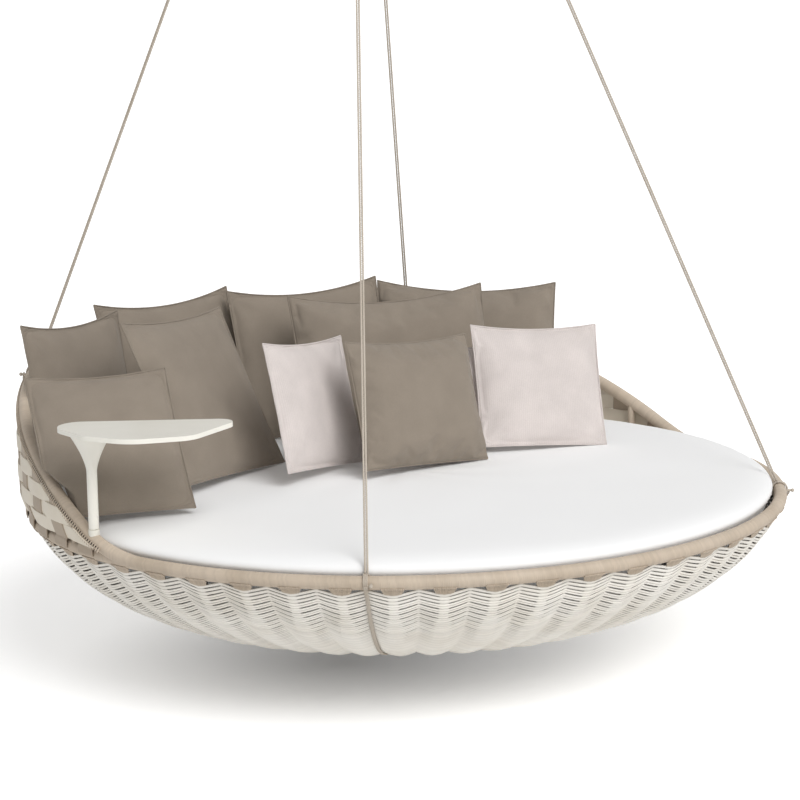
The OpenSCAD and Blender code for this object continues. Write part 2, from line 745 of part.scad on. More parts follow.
module back_bands_vertical() {
  half = upright_w / band_r * 90 / PI;
  n = floor((180 - arch_a0 - 5) / upright_step);
  color(beige) bed_frame() intersection() {
    union() for (k = [-n:n]) rotate([0, 0, 90 + k * upright_step - half])
      rotate_extrude(angle = 2 * half, $fn = round_fn) translate([band_r, wound_r * 0.72]) square([band_t, arch_h]);
    under_arch(0.4);
  }
}

// ---------------------------------------------------------------- mattress and cushions

module mattress() {
  color([0.96, 0.96, 0.96]) bed_frame() rotate_extrude($fn = round_fn) polygon([
    [0, -mattress_low], [hoop_r - 4, -mattress_low], [mattress_r - 77, -mattress_low + 7],
    [mattress_r - 46, -60], [mattress_r - 29, -36], [mattress_r - 17, -15], [mattress_r - 12, 0],
    [mattress_r - 3, 14], [mattress_r, 23], [mattress_r - 6, 32], [mattress_r - 18, 40],
    [mattress_r - 36, 46], [mattress_r - 70, mattress_crown - 12.5], [mattress_r - 170, mattress_crown - 7],
    [mattress_r - 380, mattress_crown - 4], [mattress_r - 600, mattress_crown - 2], [0, mattress_crown]
  ]);
}

// A stuffed cushion stood on its lower edge: crowned faces, drawn-in sides and pointed corners
cushion_grid = [-1, -0.87, -0.68, -0.45, -0.22, 0, 0.22, 0.45, 0.68, 0.87, 1];
function puff(q) = 1 - pow(abs(q), 2.6);
module cushion(x, y, z, turn, lean, roll, w, h, t, sag, shade, tuck = 0) {
  g = cushion_grid;
  n = len(g);
  m = n - 2;
  function px(u, v) = w / 2 * u * (1 - draw_in * (1 - v * v)) + tuck * (1 - u) * (1 - v) / 4;
  function py(u, v) = h / 2 * (v + 1) - h / 2 * v * draw_in * (1 - u * u) - sag * (1 - u * u) * pow((1 + v) / 2, 2);
  function pt(u, v, side) = [px(u, v), side * t / 2 * pow(puff(u) * puff(v), 0.5), py(u, v)];
  front = [for (i = [0:n - 1]) for (j = [0:n - 1]) pt(g[i], g[j], -1)];
  back = [for (i = [1:n - 2]) for (j = [1:n - 2]) pt(g[i], g[j], 1)];
  function straight(i, j) = (i < n / 2 - 1) == (j < n / 2 - 1);
  function cell(a, b, c, d, even) = even ? [[a, b, c], [a, c, d]] : [[a, b, d], [b, c, d]];
  function bi(i, j) = i == 0 || j == 0 || i == n - 1 || j == n - 1 ? i * n + j : n * n + (i - 1) * m + j - 1;
  faces_f = [
    for (i = [0:n - 2]) for (j = [0:n - 2])
      each cell(i * n + j, i * n + j + 1, (i + 1) * n + j + 1, (i + 1) * n + j, straight(i, j))
  ];
  faces_b = [
    for (i = [0:n - 2]) for (j = [0:n - 2])
      each cell(bi(i + 1, j), bi(i + 1, j + 1), bi(i, j + 1), bi(i, j), !straight(i, j))
  ];
  color(shade) bed_frame() translate([x * spread, y * spread, z + mattress_crown - 75]) rotate([0, 0, turn]) rotate([-lean, 0, 0]) rotate([0, -roll, 0])
    polyhedron(points = concat(front, back), faces = concat(faces_f, faces_b), convexity = 4);
}

module cushion_left_front() cushion(-844, 82, 83, -23, 41, 0, 360, 405, light_cushion_t, 6, taupe, 84);
module cushion_left_back() cushion(-572, 568, 81.5, 19, 12, -3, 420, 400, cushion_t, 16, taupe);
module cushion_left_inner() cushion(-366, 240, 87, 22, 27, -4, 470, 445, cushion_t, 8, taupe);
module cushion_back_left() cushion(-183, 668, 72.5, -1, 17, 0, 440, 415, cushion_t, 20, taupe);
module cushion_back_centre() cushion(178, 539, 76, -18, 19, 1, 440, 415, cushion_t, 20, taupe);
module cushion_back_right() cushion(551, 380, 76.5, -40, 19, -2, 495, 390, cushion_t, 20, taupe);
module cushion_wide() cushion(249, 288, 80, -23, 22, 0, 550, 415, cushion_t, 26, taupe);
module cushion_front_taupe() cushion(42, -38, 87.5, -1, 19, -4, 400, 335, cushion_t, 6, taupe);
module cushion_light_left() cushion(-172, 112, 92, 20, 15, -6, 375, 335, light_cushion_t, 6, light);
module cushion_light_right() cushion(438, -56, 81, -21, 22, -4, 355, 330, light_cushion_t, 6, light);
module cushion_light_rear() cushion(203, 91, 80.5, -7, 17, 1, 360, 320, light_cushion_t, 6, light);

// ---------------------------------------------------------------- table

table_p = around(arch_r, table_a, 0);
post_z0 = arch_z(table_a) + 26;
table_low = table_z - table_t;
table_bush_wall = 2;

module table_spigot() {
  color(cream) bed_frame() difference() {
    union() {
      translate(table_p) translate([0, 0, arch_z(table_a)]) cylinder(d = post_d, h = 26);
      translate(table_p) translate([0, 0, post_z0 - 1]) cylinder(d = table_pin_d, h = table_pin_l + 1);
    }
    along(arch_pt(table_a), arch_dir(table_a), wound_r + seat, 200);
  }
}

module table_post() {
  z0 = post_z0 + play;
  r0 = post_d / 2;
  r1 = flare_d / 2;
  z1 = table_low - flare_h;
  curve = [for (k = [0:8]) let (q = k / 8) [r0 + (r1 - r0) * pow(q, 1.35), z1 + flare_h * q]];
  bore = table_pin_d / 2 + run + table_bush_wall;
  color(cream) bed_frame() translate(table_p) difference() {
    rotate_extrude() polygon(concat([[0, z0], [r0, z0]], curve, [[0, table_low]]));
    translate([0, 0, z0 - 1]) cylinder(r = bore, h = table_pin_l + 3);
  }
}

module table_bush() {
  z0 = post_z0 + play;
  color(steel) bed_frame() translate(table_p) translate([0, 0, z0]) difference() {
    cylinder(r = table_pin_d / 2 + run + table_bush_wall, h = table_pin_l - 8);
    translate([0, 0, -1]) cylinder(r = table_pin_d / 2 + run, h = table_pin_l);
  }
}

// A rounded triangle with a nearly straight far edge and a full near edge
module table_top() {
  color(cream) bed_frame() translate(table_p) translate([0, 0, table_low]) rotate([0, 0, table_turn_a])
    linear_extrude(table_t) hull() {
      translate([-table_end_r / 3, 0.3 * table_end_r]) circle(r = table_end_r, $fn = 48);
      translate([table_reach - table_tip_r, 1.05 * table_tip_r]) circle(r = table_tip_r, $fn = 48);
      translate([0.11 * table_reach, -0.45 * table_belly_r]) circle(r = 1.1 * table_end_r, $fn = 48);
      translate([0.35 * table_reach, -0.365 * table_belly_r]) circle(r = table_belly_r, $fn = 64);
      translate([0.6 * table_reach, -0.54 * table_belly_r]) circle(r = 0.643 * table_belly_r, $fn = 48);
    }
}

ceiling_plate();
swivel_bush();
thrust_washer();
swivel_bolt();
swivel_fork();
fore_aft_pin();
fore_aft_clip();
hanger_link();
hanger_yoke();
side_pin();
side_clip();
hanging_ring();
ring_nut();
rope_thimbles();
rope_ferrules();
rope_front_left();
rope_front_right();
rope_back_left();
rope_back_right();
rope_lashings();
sling_pegs();
sling_left();
sling_right();
lower_ring();
ring_wrap();
back_arch();
arch_wrap();
arch_struts();
bowl_ribs();
base_hub();
deck_hoop();
deck_webbing();
lower_weave();
back_bands_horizontal();
back_bands_vertical();
table_spigot();
mattress();
cushion_left_front();
cushion_left_back();
cushion_left_inner();
cushion_back_left();
cushion_back_centre();
cushion_back_right();
cushion_wide();
cushion_front_taupe();
cushion_light_left();
cushion_light_right();
cushion_light_rear();
table_post();
table_bush();
table_top();
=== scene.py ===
"""Hanging swing bed: woven bowl, wound tubes, ropes, cushions and table, dressed over the CAD frame.

Every length is in metres, in the frame of the CAD model. Most shapes are written in the
bed frame, whose origin is the middle of the lower ring, with -Y to the front.
"""
import logging
import math
from dataclasses import dataclass, field
from enum import Enum
from typing import Sequence

import bmesh
import bpy
import numpy as np
from mathutils import Matrix, Vector


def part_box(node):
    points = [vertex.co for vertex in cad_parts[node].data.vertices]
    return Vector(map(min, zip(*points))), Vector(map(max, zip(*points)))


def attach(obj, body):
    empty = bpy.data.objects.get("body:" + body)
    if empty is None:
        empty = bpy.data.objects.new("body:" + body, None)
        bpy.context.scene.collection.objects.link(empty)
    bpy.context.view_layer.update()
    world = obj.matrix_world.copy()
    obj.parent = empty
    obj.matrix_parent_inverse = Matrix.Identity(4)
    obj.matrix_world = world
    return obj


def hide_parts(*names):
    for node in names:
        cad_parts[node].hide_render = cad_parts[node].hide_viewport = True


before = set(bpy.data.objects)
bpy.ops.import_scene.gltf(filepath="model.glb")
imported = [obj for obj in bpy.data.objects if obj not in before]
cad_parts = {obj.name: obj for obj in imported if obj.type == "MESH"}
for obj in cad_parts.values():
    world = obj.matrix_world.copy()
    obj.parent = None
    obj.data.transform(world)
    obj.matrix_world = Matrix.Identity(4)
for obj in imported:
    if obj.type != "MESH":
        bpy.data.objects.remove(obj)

logging.basicConfig(level=logging.INFO, format="%(message)s")
log = logging.getLogger("swing_bed")

Rgb = tuple[float, float, float]
Array = np.ndarray
Values = Array | float
Shape = tuple[Array, Array, Array]
Rng = np.random.Generator
Socket = bpy.types.NodeSocket


# ------------------------------------------------------------------ materials


class Nodes:
    """A thin wrapper that adds and joins shader nodes of one material."""

    def __init__(self, name: str) -> None:
        """Start an empty node tree with a Principled shader.

        Args:
            name: Name of the material.
        """
        self.material = bpy.data.materials.new(name)
        self.material.use_nodes = True
        self.tree = self.material.node_tree
        self.tree.nodes.clear()
        self.output = self.tree.nodes.new("ShaderNodeOutputMaterial")
        self.shader = self.tree.nodes.new("ShaderNodeBsdfPrincipled")
        self.join(self.shader.outputs["BSDF"], self.output.inputs["Surface"])

    def join(self, source: Socket, target: Socket) -> None:
        """Link one socket to another."""
        self.tree.links.new(source, target)

    def add(self, kind: str, **values: object) -> bpy.types.Node:
        """Add a node and set its properties.

        Args:
            kind: The node's type without its ShaderNode prefix.
            values: Properties of the node by name.

        Returns:
            The new node.
        """
        node = self.tree.nodes.new("ShaderNode" + kind)
        for key, value in values.items():
            setattr(node, key, value)
        return node

    def feed(self, name: str, source: Socket) -> None:
        """Link a socket to one of the shader's own."""
        self.join(source, self.shader.inputs[name])

    def attribute(self, name: str) -> bpy.types.Node:
        """Read a named mesh attribute."""
        return self.add("Attribute", attribute_name=name, attribute_type="GEOMETRY")

    def position(self) -> Socket:
        """Give the object coordinates, which move with the piece."""
        return self.add("TexCoord").outputs["Object"]

    def maths(self, operation: str, *operands: object) -> Socket:
        """Compute one value from sockets and numbers.

        Args:
            operation: Name of the operation.
            operands: Sockets or numbers, in order.

        Returns:
            The result's socket.
        """
        node = self.add("Math", operation=operation)
        for k, operand in enumerate(operands):
            if isinstance(operand, (int, float)):
                node.inputs[k].default_value = operand
            else:
                self.join(operand, node.inputs[k])
        return node.outputs[0]

    def scaled(self, value: Socket, share: float, more: float) -> Socket:
        """Multiply a value by a share and add to it."""
        return self.maths("ADD", self.maths("MULTIPLY", value, share), more)

    def axis(self, vector: Socket, name: str) -> Socket:
        """Give the X, Y or Z of a vector."""
        split = self.add("SeparateXYZ")
        self.join(vector, split.inputs[0])
        return split.outputs[name]

    def noise(self, scale: float, detail: float = 3.0) -> Socket:
        """Add a noise texture on the object's own coordinates.

        Args:
            scale: Number of blotches per metre.
            detail: Octaves of finer noise.

        Returns:
            The factor, from 0 to 1.
        """
        node = self.add("TexNoise")
        node.inputs["Scale"].default_value = scale
        node.inputs["Detail"].default_value = detail
        self.join(self.position(), node.inputs["Vector"])
        return node.outputs["Fac"]

    def blend(self, factor: Socket, first: Rgb, second: Rgb, low: float = 0.3, high: float = 0.7) -> Socket:
        """Run from one colour to another as a factor rises.

        Args:
            factor: What decides the mix.
            first: Colour at low.
            second: Colour at high.
            low: Factor at which the first colour ends.
            high: Factor at which the second begins.

        Returns:
            The colour's socket.
        """
        ramp = self.add("ValToRGB")
        ramp.color_ramp.elements[0].position = low
        ramp.color_ramp.elements[1].position = high
        ramp.color_ramp.elements[0].color = (*first, 1)
        ramp.color_ramp.elements[1].color = (*second, 1)
        self.join(factor, ramp.inputs["Fac"])
        return ramp.outputs["Color"]

    def multiply(self, first: Socket, second: Socket, share: float = 1.0) -> Socket:
        """Multiply two colours.

        Args:
            first: Base colour.
            second: Colour that darkens it.
            share: How much of the second counts.

        Returns:
            The colour's socket.
        """
        mix = self.add("Mix", data_type="RGBA", blend_type="MULTIPLY")
        mix.inputs["Factor"].default_value = share
        self.join(first, mix.inputs["A"])
        self.join(second, mix.inputs["B"])
        return mix.outputs["Result"]

    def hide(self, colour: Socket) -> Socket:
        """Darken a colour by the painted shade that a mesh attribute marks on sides that face into the bowl and other
        shaded places.
        """
        # Painted shade: a near-black brown, multiplied into the colour at the attribute's share.
        depth = self.blend(self.attribute("hidden").outputs["Fac"], (1, 1, 1), (0.05, 0.038, 0.028), 0.0, 1.0)
        return self.multiply(colour, depth)

    def set(self, **values: float | Sequence[float]) -> None:
        """Set the shader's own sockets, with underscores for the spaces in their names."""
        for key, value in values.items():
            self.shader.inputs[key.replace("_", " ")].default_value = value

    def bump(self, height: Socket, depth: float, strength: float = 1.0) -> None:
        """Raise the surface by a height.

        Args:
            height: Value from 0 to 1.
            depth: Depth in metres at 1.
            strength: Share of the effect.
        """
        node = self.add("Bump")
        node.inputs["Strength"].default_value = strength
        node.inputs["Distance"].default_value = depth
        self.join(height, node.inputs["Height"])
        self.join(node.outputs["Normal"], self.shader.inputs["Normal"])


def linear(red: int, green: int, blue: int) -> Rgb:
    """Turn a colour of 0 to 255 steps into linear light."""
    return tuple(((c / 255 + 0.055) / 1.055) ** 2.4 if c > 10 else c / 255 / 12.92 for c in (red, green, blue))


def shade(colour: Rgb, share: float) -> Rgb:
    """Multiply a colour by a share."""
    return tuple(min(1.0, c * share) for c in colour)


@dataclass(frozen=True)
class StrandFinish:
    """Extruded wicker strand: satin, with fine drawn lines and a slightly different tone each."""

    name: str
    colour: Rgb
    spread: float = 0.10
    roughness: float = 0.52
    grain: float = 2600.0

    def build(self) -> bpy.types.Material:
        """Make the material.

        Returns:
            A material that reads the attributes tone, strand and hidden.
        """
        n = Nodes(self.name)
        tone = n.attribute("tone").outputs["Fac"]
        base = n.blend(tone, shade(self.colour, 1 - self.spread), shade(self.colour, 1 + self.spread / 2), 0.0, 1.0)
        soil = n.blend(n.noise(9.0, 4), shade((1, 0.985, 0.96), 0.93), (1, 1, 1), 0.35, 0.6)
        # The base colour is darkened by painted shade where the mesh attribute marks it.
        n.feed("Base Color", n.hide(n.multiply(base, soil)))
        across = n.axis(n.attribute("strand").outputs["Vector"], "Y")
        lines = n.maths("SINE", n.maths("MULTIPLY", across, self.grain))
        fine = n.maths("ADD", n.maths("MULTIPLY", lines, 0.5), n.noise(900.0, 2))
        n.feed("Roughness", n.scaled(n.noise(60.0), 0.2, self.roughness - 0.1))
        n.bump(fine, 0.00012, 0.6)
        n.set(Specular_IOR_Level=0.35)
        return n.material


@dataclass(frozen=True)
class ClothFinish:
    """Outdoor cloth in plain weave, with an optional fine upright stripe."""

    name: str
    colour: Rgb
    thread: float = 0.0011
    depth: float = 0.00022
    stripe: Rgb | None = None
    stripe_pitch: float = 0.0052
    roughness: float = 0.9
    sheen: float = 0.12

    def build(self) -> bpy.types.Material:
        """Make the material.

        Returns:
            A material that reads the attributes cloth, in metres over the cover, and hidden.
        """
        n = Nodes(self.name)
        place = n.attribute("cloth").outputs["Vector"]

        def wave(name: str, pitch: float) -> Socket:
            """Give a sine over the cover along one axis."""
            return n.maths("SINE", n.maths("MULTIPLY", n.axis(place, name), 2 * math.pi / pitch))

        crossing = n.scaled(n.maths("MULTIPLY", wave("X", self.thread), wave("Y", self.thread)), 0.5, 0.5)
        base = n.blend(n.noise(14.0, 5), shade(self.colour, 0.93), shade(self.colour, 1.05))
        if self.stripe:
            base = n.multiply(base, n.blend(wave("X", self.stripe_pitch), (1, 1, 1), self.stripe, 0.1, 0.75))
        threads = n.blend(crossing, (0.9, 0.9, 0.9), (1, 1, 1), 0.0, 0.8)
        slub = n.blend(n.noise(420.0, 2), (0.94, 0.94, 0.94), (1, 1, 1), 0.3, 0.6)
        # The base colour is darkened by painted shade where the mesh attribute marks it.
        n.feed("Base Color", n.hide(n.multiply(n.multiply(base, threads), slub)))
        n.bump(n.maths("ADD", crossing, n.maths("MULTIPLY", n.noise(55.0, 4), 1.5)), self.depth, 0.8)
        n.set(Roughness=self.roughness, Specular_IOR_Level=0.2 if self.sheen else 0.05)
        n.set(Sheen_Weight=self.sheen, Sheen_Roughness=0.5)
        return n.material


@dataclass(frozen=True)
class PaintFinish:
    """Powder-coated metal, with a faint orange peel."""

    name: str
    colour: Rgb
    roughness: float = 0.42
    top_shade: float = 1.0

    def build(self) -> bpy.types.Material:
        """Make the material, with painted shade that darkens the faces that look up."""
        n = Nodes(self.name)
        base = n.blend(n.noise(7.0), shade(self.colour, 0.97), shade(self.colour, 1.01))
        # Painted shade: faces that look up keep only a share of their colour, as a top less lit than its edges.
        upward = n.axis(n.add("TexCoord").outputs["Normal"], "Z")
        top_shade_tint = n.blend(upward, (1, 1, 1), (self.top_shade, self.top_shade * 0.995, self.top_shade * 0.98), 0.8, 0.97)
        n.feed("Base Color", n.multiply(base, top_shade_tint))
        n.feed("Roughness", n.scaled(n.noise(35.0), 0.16, self.roughness - 0.08))
        n.bump(n.noise(520.0, 2), 0.00008, 0.35)
        n.set(Coat_Weight=0.08, Coat_Roughness=0.3)
        return n.material


@dataclass(frozen=True)
class MetalFinish:
    """Bare metal, brushed or galvanised."""

    name: str
    colour: Rgb
    roughness: float = 0.34

    def build(self) -> bpy.types.Material:
        """Make the material."""
        n = Nodes(self.name)
        n.feed("Base Color", n.blend(n.noise(45.0), shade(self.colour, 0.86), self.colour))
        n.feed("Roughness", n.scaled(n.noise(160.0, 6), 0.3, self.roughness - 0.12))
        n.bump(n.noise(900.0, 3), 0.00006, 0.4)
        n.set(Metallic=1.0)
        return n.material


@dataclass(frozen=True)
class PlasticFinish:
    """Moulded plastic or woven elastic strap."""

    name: str
    colour: Rgb
    roughness: float = 0.6
    weave: float = 500.0

    def build(self) -> bpy.types.Material:
        """Make the material."""
        n = Nodes(self.name)
        n.feed("Base Color", n.blend(n.noise(80.0), shade(self.colour, 0.9), shade(self.colour, 1.05)))
        n.bump(n.noise(self.weave, 3), 0.0002, 0.5)
        n.set(Roughness=self.roughness)
        return n.material


@dataclass(frozen=True)
class FloorFinish:
    """Pale floor that shows as white away from the object and keeps its shadow."""

    name: str
    colour: Rgb
    middle: tuple[float, float, float]
    glow: tuple[float, float] = (0.11, 0.43)
    reach: float = 0.73

    def build(self) -> bpy.types.Material:
        """Make the material, whose glow for camera rays is painted light: weak in the middle of the shadow, it grows
        outwards, lightening the shadow's edges and whitening the floor.
        """
        n = Nodes(self.name)
        n.feed("Base Color", n.blend(n.noise(0.7), shade(self.colour, 0.995), self.colour))
        n.set(Roughness=0.95, Specular_IOR_Level=0.05, Emission_Color=(1, 1, 1, 1))
        away = n.add("VectorMath", operation="DISTANCE")
        away.inputs[1].default_value = self.middle
        n.join(n.position(), away.inputs[0])
        near, far = ((share,) * 3 for share in self.glow)
        glow = n.blend(n.maths("DIVIDE", away.outputs["Value"], self.reach), near, far, 0.03, 1.0)
        n.feed("Emission Strength", n.maths("MULTIPLY", n.add("LightPath").outputs["Is Camera Ray"], glow))
        return n.material


class Finish(Enum):
    """Every finish of the bed, with the record's material slot that it stands for."""

    BEIGE = (StrandFinish("wicker_beige_strand", linear(199, 184, 166), 0.09), "wicker_beige")
    CREAM = (StrandFinish("wicker_cream_strand", linear(251, 247, 239), 0.06), "wicker_cream")
    CREAM_BAND = (StrandFinish("wicker_cream_band", linear(232, 223, 207), 0.06), "wicker_cream")
    TAUPE_BAND = (StrandFinish("wicker_taupe_band", linear(182, 167, 149), 0.06), "wicker_taupe")
    ROPE = (StrandFinish("rope_braid", linear(200, 190, 177), 0.08, 0.75, 5200.0), "rope")
    TAUPE_CLOTH = (ClothFinish("cushion_taupe_cloth", linear(148, 137, 124)), "taupe_cloth")
    STRIPED_CLOTH = (
        ClothFinish("cushion_striped_cloth", linear(224, 215, 211), stripe=(0.955, 0.945, 0.94)), "striped_cloth")
    MATTRESS = (ClothFinish("mattress_cloth", linear(245, 244, 246), depth=0.00012, sheen=0.0), "mattress_cloth")
    # The table's top gets painted shade at 0.80 of its colour.
    TABLE = (PaintFinish("table_cream_paint", linear(243, 240, 230), top_shade=0.80), "table_paint")
    SPIGOT = (PaintFinish("spigot_cream_paint", linear(232, 229, 218)), "painted_cream")
    STEEL = (MetalFinish("swivel_steel", (0.62, 0.61, 0.59)), "steel")
    FRAME = (MetalFinish("frame_galvanised_steel", (0.24, 0.235, 0.225), 0.62), "frame_steel")
    BUSH = (PlasticFinish("bush_plastic", (0.62, 0.58, 0.5)), "bush")
    WEBBING = (PlasticFinish("deck_elastic_strap", (0.3, 0.27, 0.23), 0.85, 1400.0), "webbing")

    def material(self) -> bpy.types.Material:
        """Give the finish's material, made on first use."""
        finish = self.value[0]
        return bpy.data.materials.get(finish.name) or finish.build()

    @property
    def slot(self) -> str:
        """Name of the record's slot."""
        return self.value[1]


# ------------------------------------------------------------------ mesh tools


def link(name: str, data: bpy.types.ID) -> bpy.types.Object:
    """Put an object with the given data into the scene."""
    thing = bpy.data.objects.new(name, data)
    bpy.context.scene.collection.objects.link(thing)
    return thing


def flat(values: Array) -> Array:
    """Give values in one row, as the mesh stores them."""
    return np.ascontiguousarray(values, dtype=np.float32).ravel()


def corners_of(mesh: bpy.types.Mesh) -> Array:
    """Read a mesh's corners, n by 3."""
    values = np.empty(len(mesh.vertices) * 3, np.float32)
    mesh.vertices.foreach_get("co", values)
    return values.reshape(-1, 3)


def note(mesh: bpy.types.Mesh, key: str, values: Array, domain: str = "POINT") -> None:
    """Keep one number or three on each corner or edge of a mesh."""
    kind, field_name = ("FLOAT", "value") if values.ndim == 1 else ("FLOAT_VECTOR", "vector")
    mesh.attributes.new(key, kind, domain).data.foreach_set(field_name, flat(values))


def make_piece(name: str, points: Array, faces: Array, finish: Finish, body: str, **data: Array) -> bpy.types.Object:
    """Make a mesh object that rides on a body.

    Args:
        name: Name of the piece.
        points: Corners, n by 3.
        faces: Quads or triangles, m by 4 or m by 3.
        finish: What it is made of.
        body: The body that it moves with.
        data: Attributes per corner, one number or three.

    Returns:
        The new object.
    """
    mesh = bpy.data.meshes.new(name)
    size = faces.shape[1]
    mesh.vertices.add(len(points))
    mesh.vertices.foreach_set("co", flat(points))
    mesh.loops.add(faces.size)
    mesh.loops.foreach_set("vertex_index", faces.astype(np.int32).ravel())
    mesh.polygons.add(len(faces))
    mesh.polygons.foreach_set("loop_start", np.arange(0, faces.size, size, dtype=np.int32))
    mesh.update(calc_edges=True)
    mesh.validate()
    mesh.polygons.foreach_set("use_smooth", np.ones(len(mesh.polygons), bool))
    for key, values in data.items():
        note(mesh, key, values)
    piece = link(name, mesh)
    piece.data.materials.append(finish.material())
    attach(piece, body)
    return piece


def face_outwards(piece: bpy.types.Object) -> None:
    """Turn all faces of a closed piece outwards."""
    work = bmesh.new()
    work.from_mesh(piece.data)
    bmesh.ops.recalc_face_normals(work, faces=work.faces)
    work.to_mesh(piece.data)
    work.free()


def grid_faces(rows: int, columns: int, close_rows: bool, close_columns: bool) -> Array:
    """Index the quads of a grid of corners.

    Args:
        rows: Number of rows.
        columns: Corners in a row.
        close_rows: Whether the last row joins the first.
        close_columns: Whether each row closes on itself.

    Returns:
        Quads, m by 4.
    """
    i = np.arange(rows if close_rows else rows - 1)[:, None]
    j = np.arange(columns if close_columns else columns - 1)[None, :]
    i2, j2 = (i + 1) % rows, (j + 1) % columns
    corners = (i * columns + j, i * columns + j2, i2 * columns + j2, i2 * columns + j)
    return np.stack([c.ravel() for c in np.broadcast_arrays(*corners)], axis=1)


@dataclass
class Parts:
    """Several strands or bands that become one piece of the bed."""

    form: "BedForm"
    points: list[Array] = field(default_factory=list)
    faces: list[Array] = field(default_factory=list)
    tone: list[Array] = field(default_factory=list)
    strand: list[Array] = field(default_factory=list)
    hidden: list[Array] = field(default_factory=list)
    count: int = 0

    def add(self, shape: Shape, tone: Values, hidden: Values = 0.0) -> None:
        """Append one part.

        Args:
            shape: Its corners in the bed frame, its quads and its strand coordinates.
            tone: Its shade from 0 to 1, one or per corner.
            hidden: Share of painted shade, from 0 to 1, one or per corner, for sides that face into the dark inside.
        """
        points, faces, strand = shape
        self.points.append(self.form.place(points))
        self.faces.append(faces + self.count)
        self.tone.append(np.broadcast_to(tone, (len(points),)))
        self.strand.append(strand)
        self.hidden.append(np.broadcast_to(hidden, (len(points),)))
        self.count += len(points)

    def piece(self, name: str, finish: Finish, stands_for: str | None = None, report: str = "") -> None:
        """Join the parts into one piece.

        Args:
            name: Its name.
            finish: What it is made of.
            stands_for: The CAD node that it replaces.
            report: What the log says about it.
        """
        join = np.concatenate
        piece = make_piece(name, join(self.points), join(self.faces), finish, "bed", tone=join(self.tone),
                           strand=join(self.strand), hidden=join(self.hidden))
        if stands_for:
            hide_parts(stands_for)
        log.info("%s: %s, %d faces", name, report, len(piece.data.polygons))


def unit(v: Array) -> Array:
    """Scale vectors to length one."""
    return v / np.maximum(np.linalg.norm(v, axis=-1, keepdims=True), 1e-12)


def distances(path: Array) -> Array:
    """Give the distance along a path at each of its points."""
    return np.concatenate([[0], np.cumsum(np.linalg.norm(np.diff(path, axis=0), axis=1))])


def square_to(side: Array, along: Array) -> Array:
    """Turn directions square to a path."""
    return unit(side - (side * along).sum(1, keepdims=True) * along)


def with_ends(faces: Array, rows: int, sides: int) -> Array:
    """Close both ends of a tube of quads.

    Args:
        faces: The quads round the tube.
        rows: Number of rings of corners.
        sides: Corners in each ring.

    Returns:
        The quads with those of the ends.
    """
    k = np.arange(sides // 2 - 1)
    cap = np.stack([k, k + 1, sides - 2 - k, sides - 1 - k], axis=1)
    return np.concatenate([faces, cap[:, ::-1], cap + (rows - 1) * sides])


def sweep(path: Array, side: Array, widths: Values, heights: Values, sides: int = 8, closed: bool = False,
          power: float = 1.0, flip: float = 0.0) -> Shape:
    """Sweep an oval along a path.

    Args:
        path: Centre line, n by 3.
        side: Direction of the oval's width at each point, n by 3.
        widths: Half width, one or n.
        heights: Half height, one or n.
        sides: Corners round the oval.
        closed: Whether the path closes on itself; otherwise its ends are capped.
        power: Below 1 makes the oval squarer.
        flip: Turn of the first corner, in steps.

    Returns:
        Corners, quads and the strand coordinates.
    """
    path = np.asarray(path, float)
    n = len(path)
    if closed:
        along = unit(np.roll(path, -1, 0) - np.roll(path, 1, 0))
    else:
        along = unit(np.gradient(path, axis=0))
    side = square_to(np.broadcast_to(side, path.shape), along)
    up = np.cross(along, side)
    t = 2 * np.pi * (np.arange(sides) + flip) / sides
    cx, cy = (np.sign(c) * np.abs(c) ** power for c in (np.cos(t), np.sin(t)))
    w = np.broadcast_to(widths, (n,))[:, None, None]
    h = np.broadcast_to(heights, (n,))[:, None, None]
    points = path[:, None, :] + w * cx[None, :, None] * side[:, None, :] + h * cy[None, :, None] * up[:, None, :]
    faces = grid_faces(n, sides, closed, True)
    if not closed:
        faces = with_ends(faces, n, sides)
    strand = np.stack([np.repeat(distances(path), sides), np.tile(t * 0.004, n), np.zeros(n * sides)], axis=1)
    return points.reshape(-1, 3), faces, strand


def spline(points: Sequence[Sequence[float]], step: float) -> Array:
    """Pass a smooth curve through points.

    Args:
        points: The points to pass through.
        step: Distance between the curve's own points.

    Returns:
        Points along the curve, n by 3.
    """
    p = np.asarray(points, float)
    p = np.vstack([2 * p[0] - p[1], p, 2 * p[-1] - p[-2]])
    out = []
    for before, start, end, after in zip(p, p[1:], p[2:], p[3:]):
        n = max(2, int(np.linalg.norm(end - start) / step))
        t = np.linspace(0, 1, n, endpoint=False)[:, None]
        bend = (2 * before - 5 * start + 4 * end - after) * t**2 + (3 * start - before - 3 * end + after) * t**3
        out.append(0.5 * (2 * start + (end - before) * t + bend))
    return np.vstack([*out, p[-2]])


def dress(finish: Finish, *nodes: str) -> None:
    """Give CAD nodes a finish.

    Args:
        finish: What they are made of.
        nodes: Their names.
    """
    for name in nodes:
        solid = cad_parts[name]
        solid.data.materials.clear()
        solid.data.materials.append(finish.material())
        log.info("%s: CAD solid in %s", name, finish.value[0].name)


# ------------------------------------------------------------------ the bed's frame


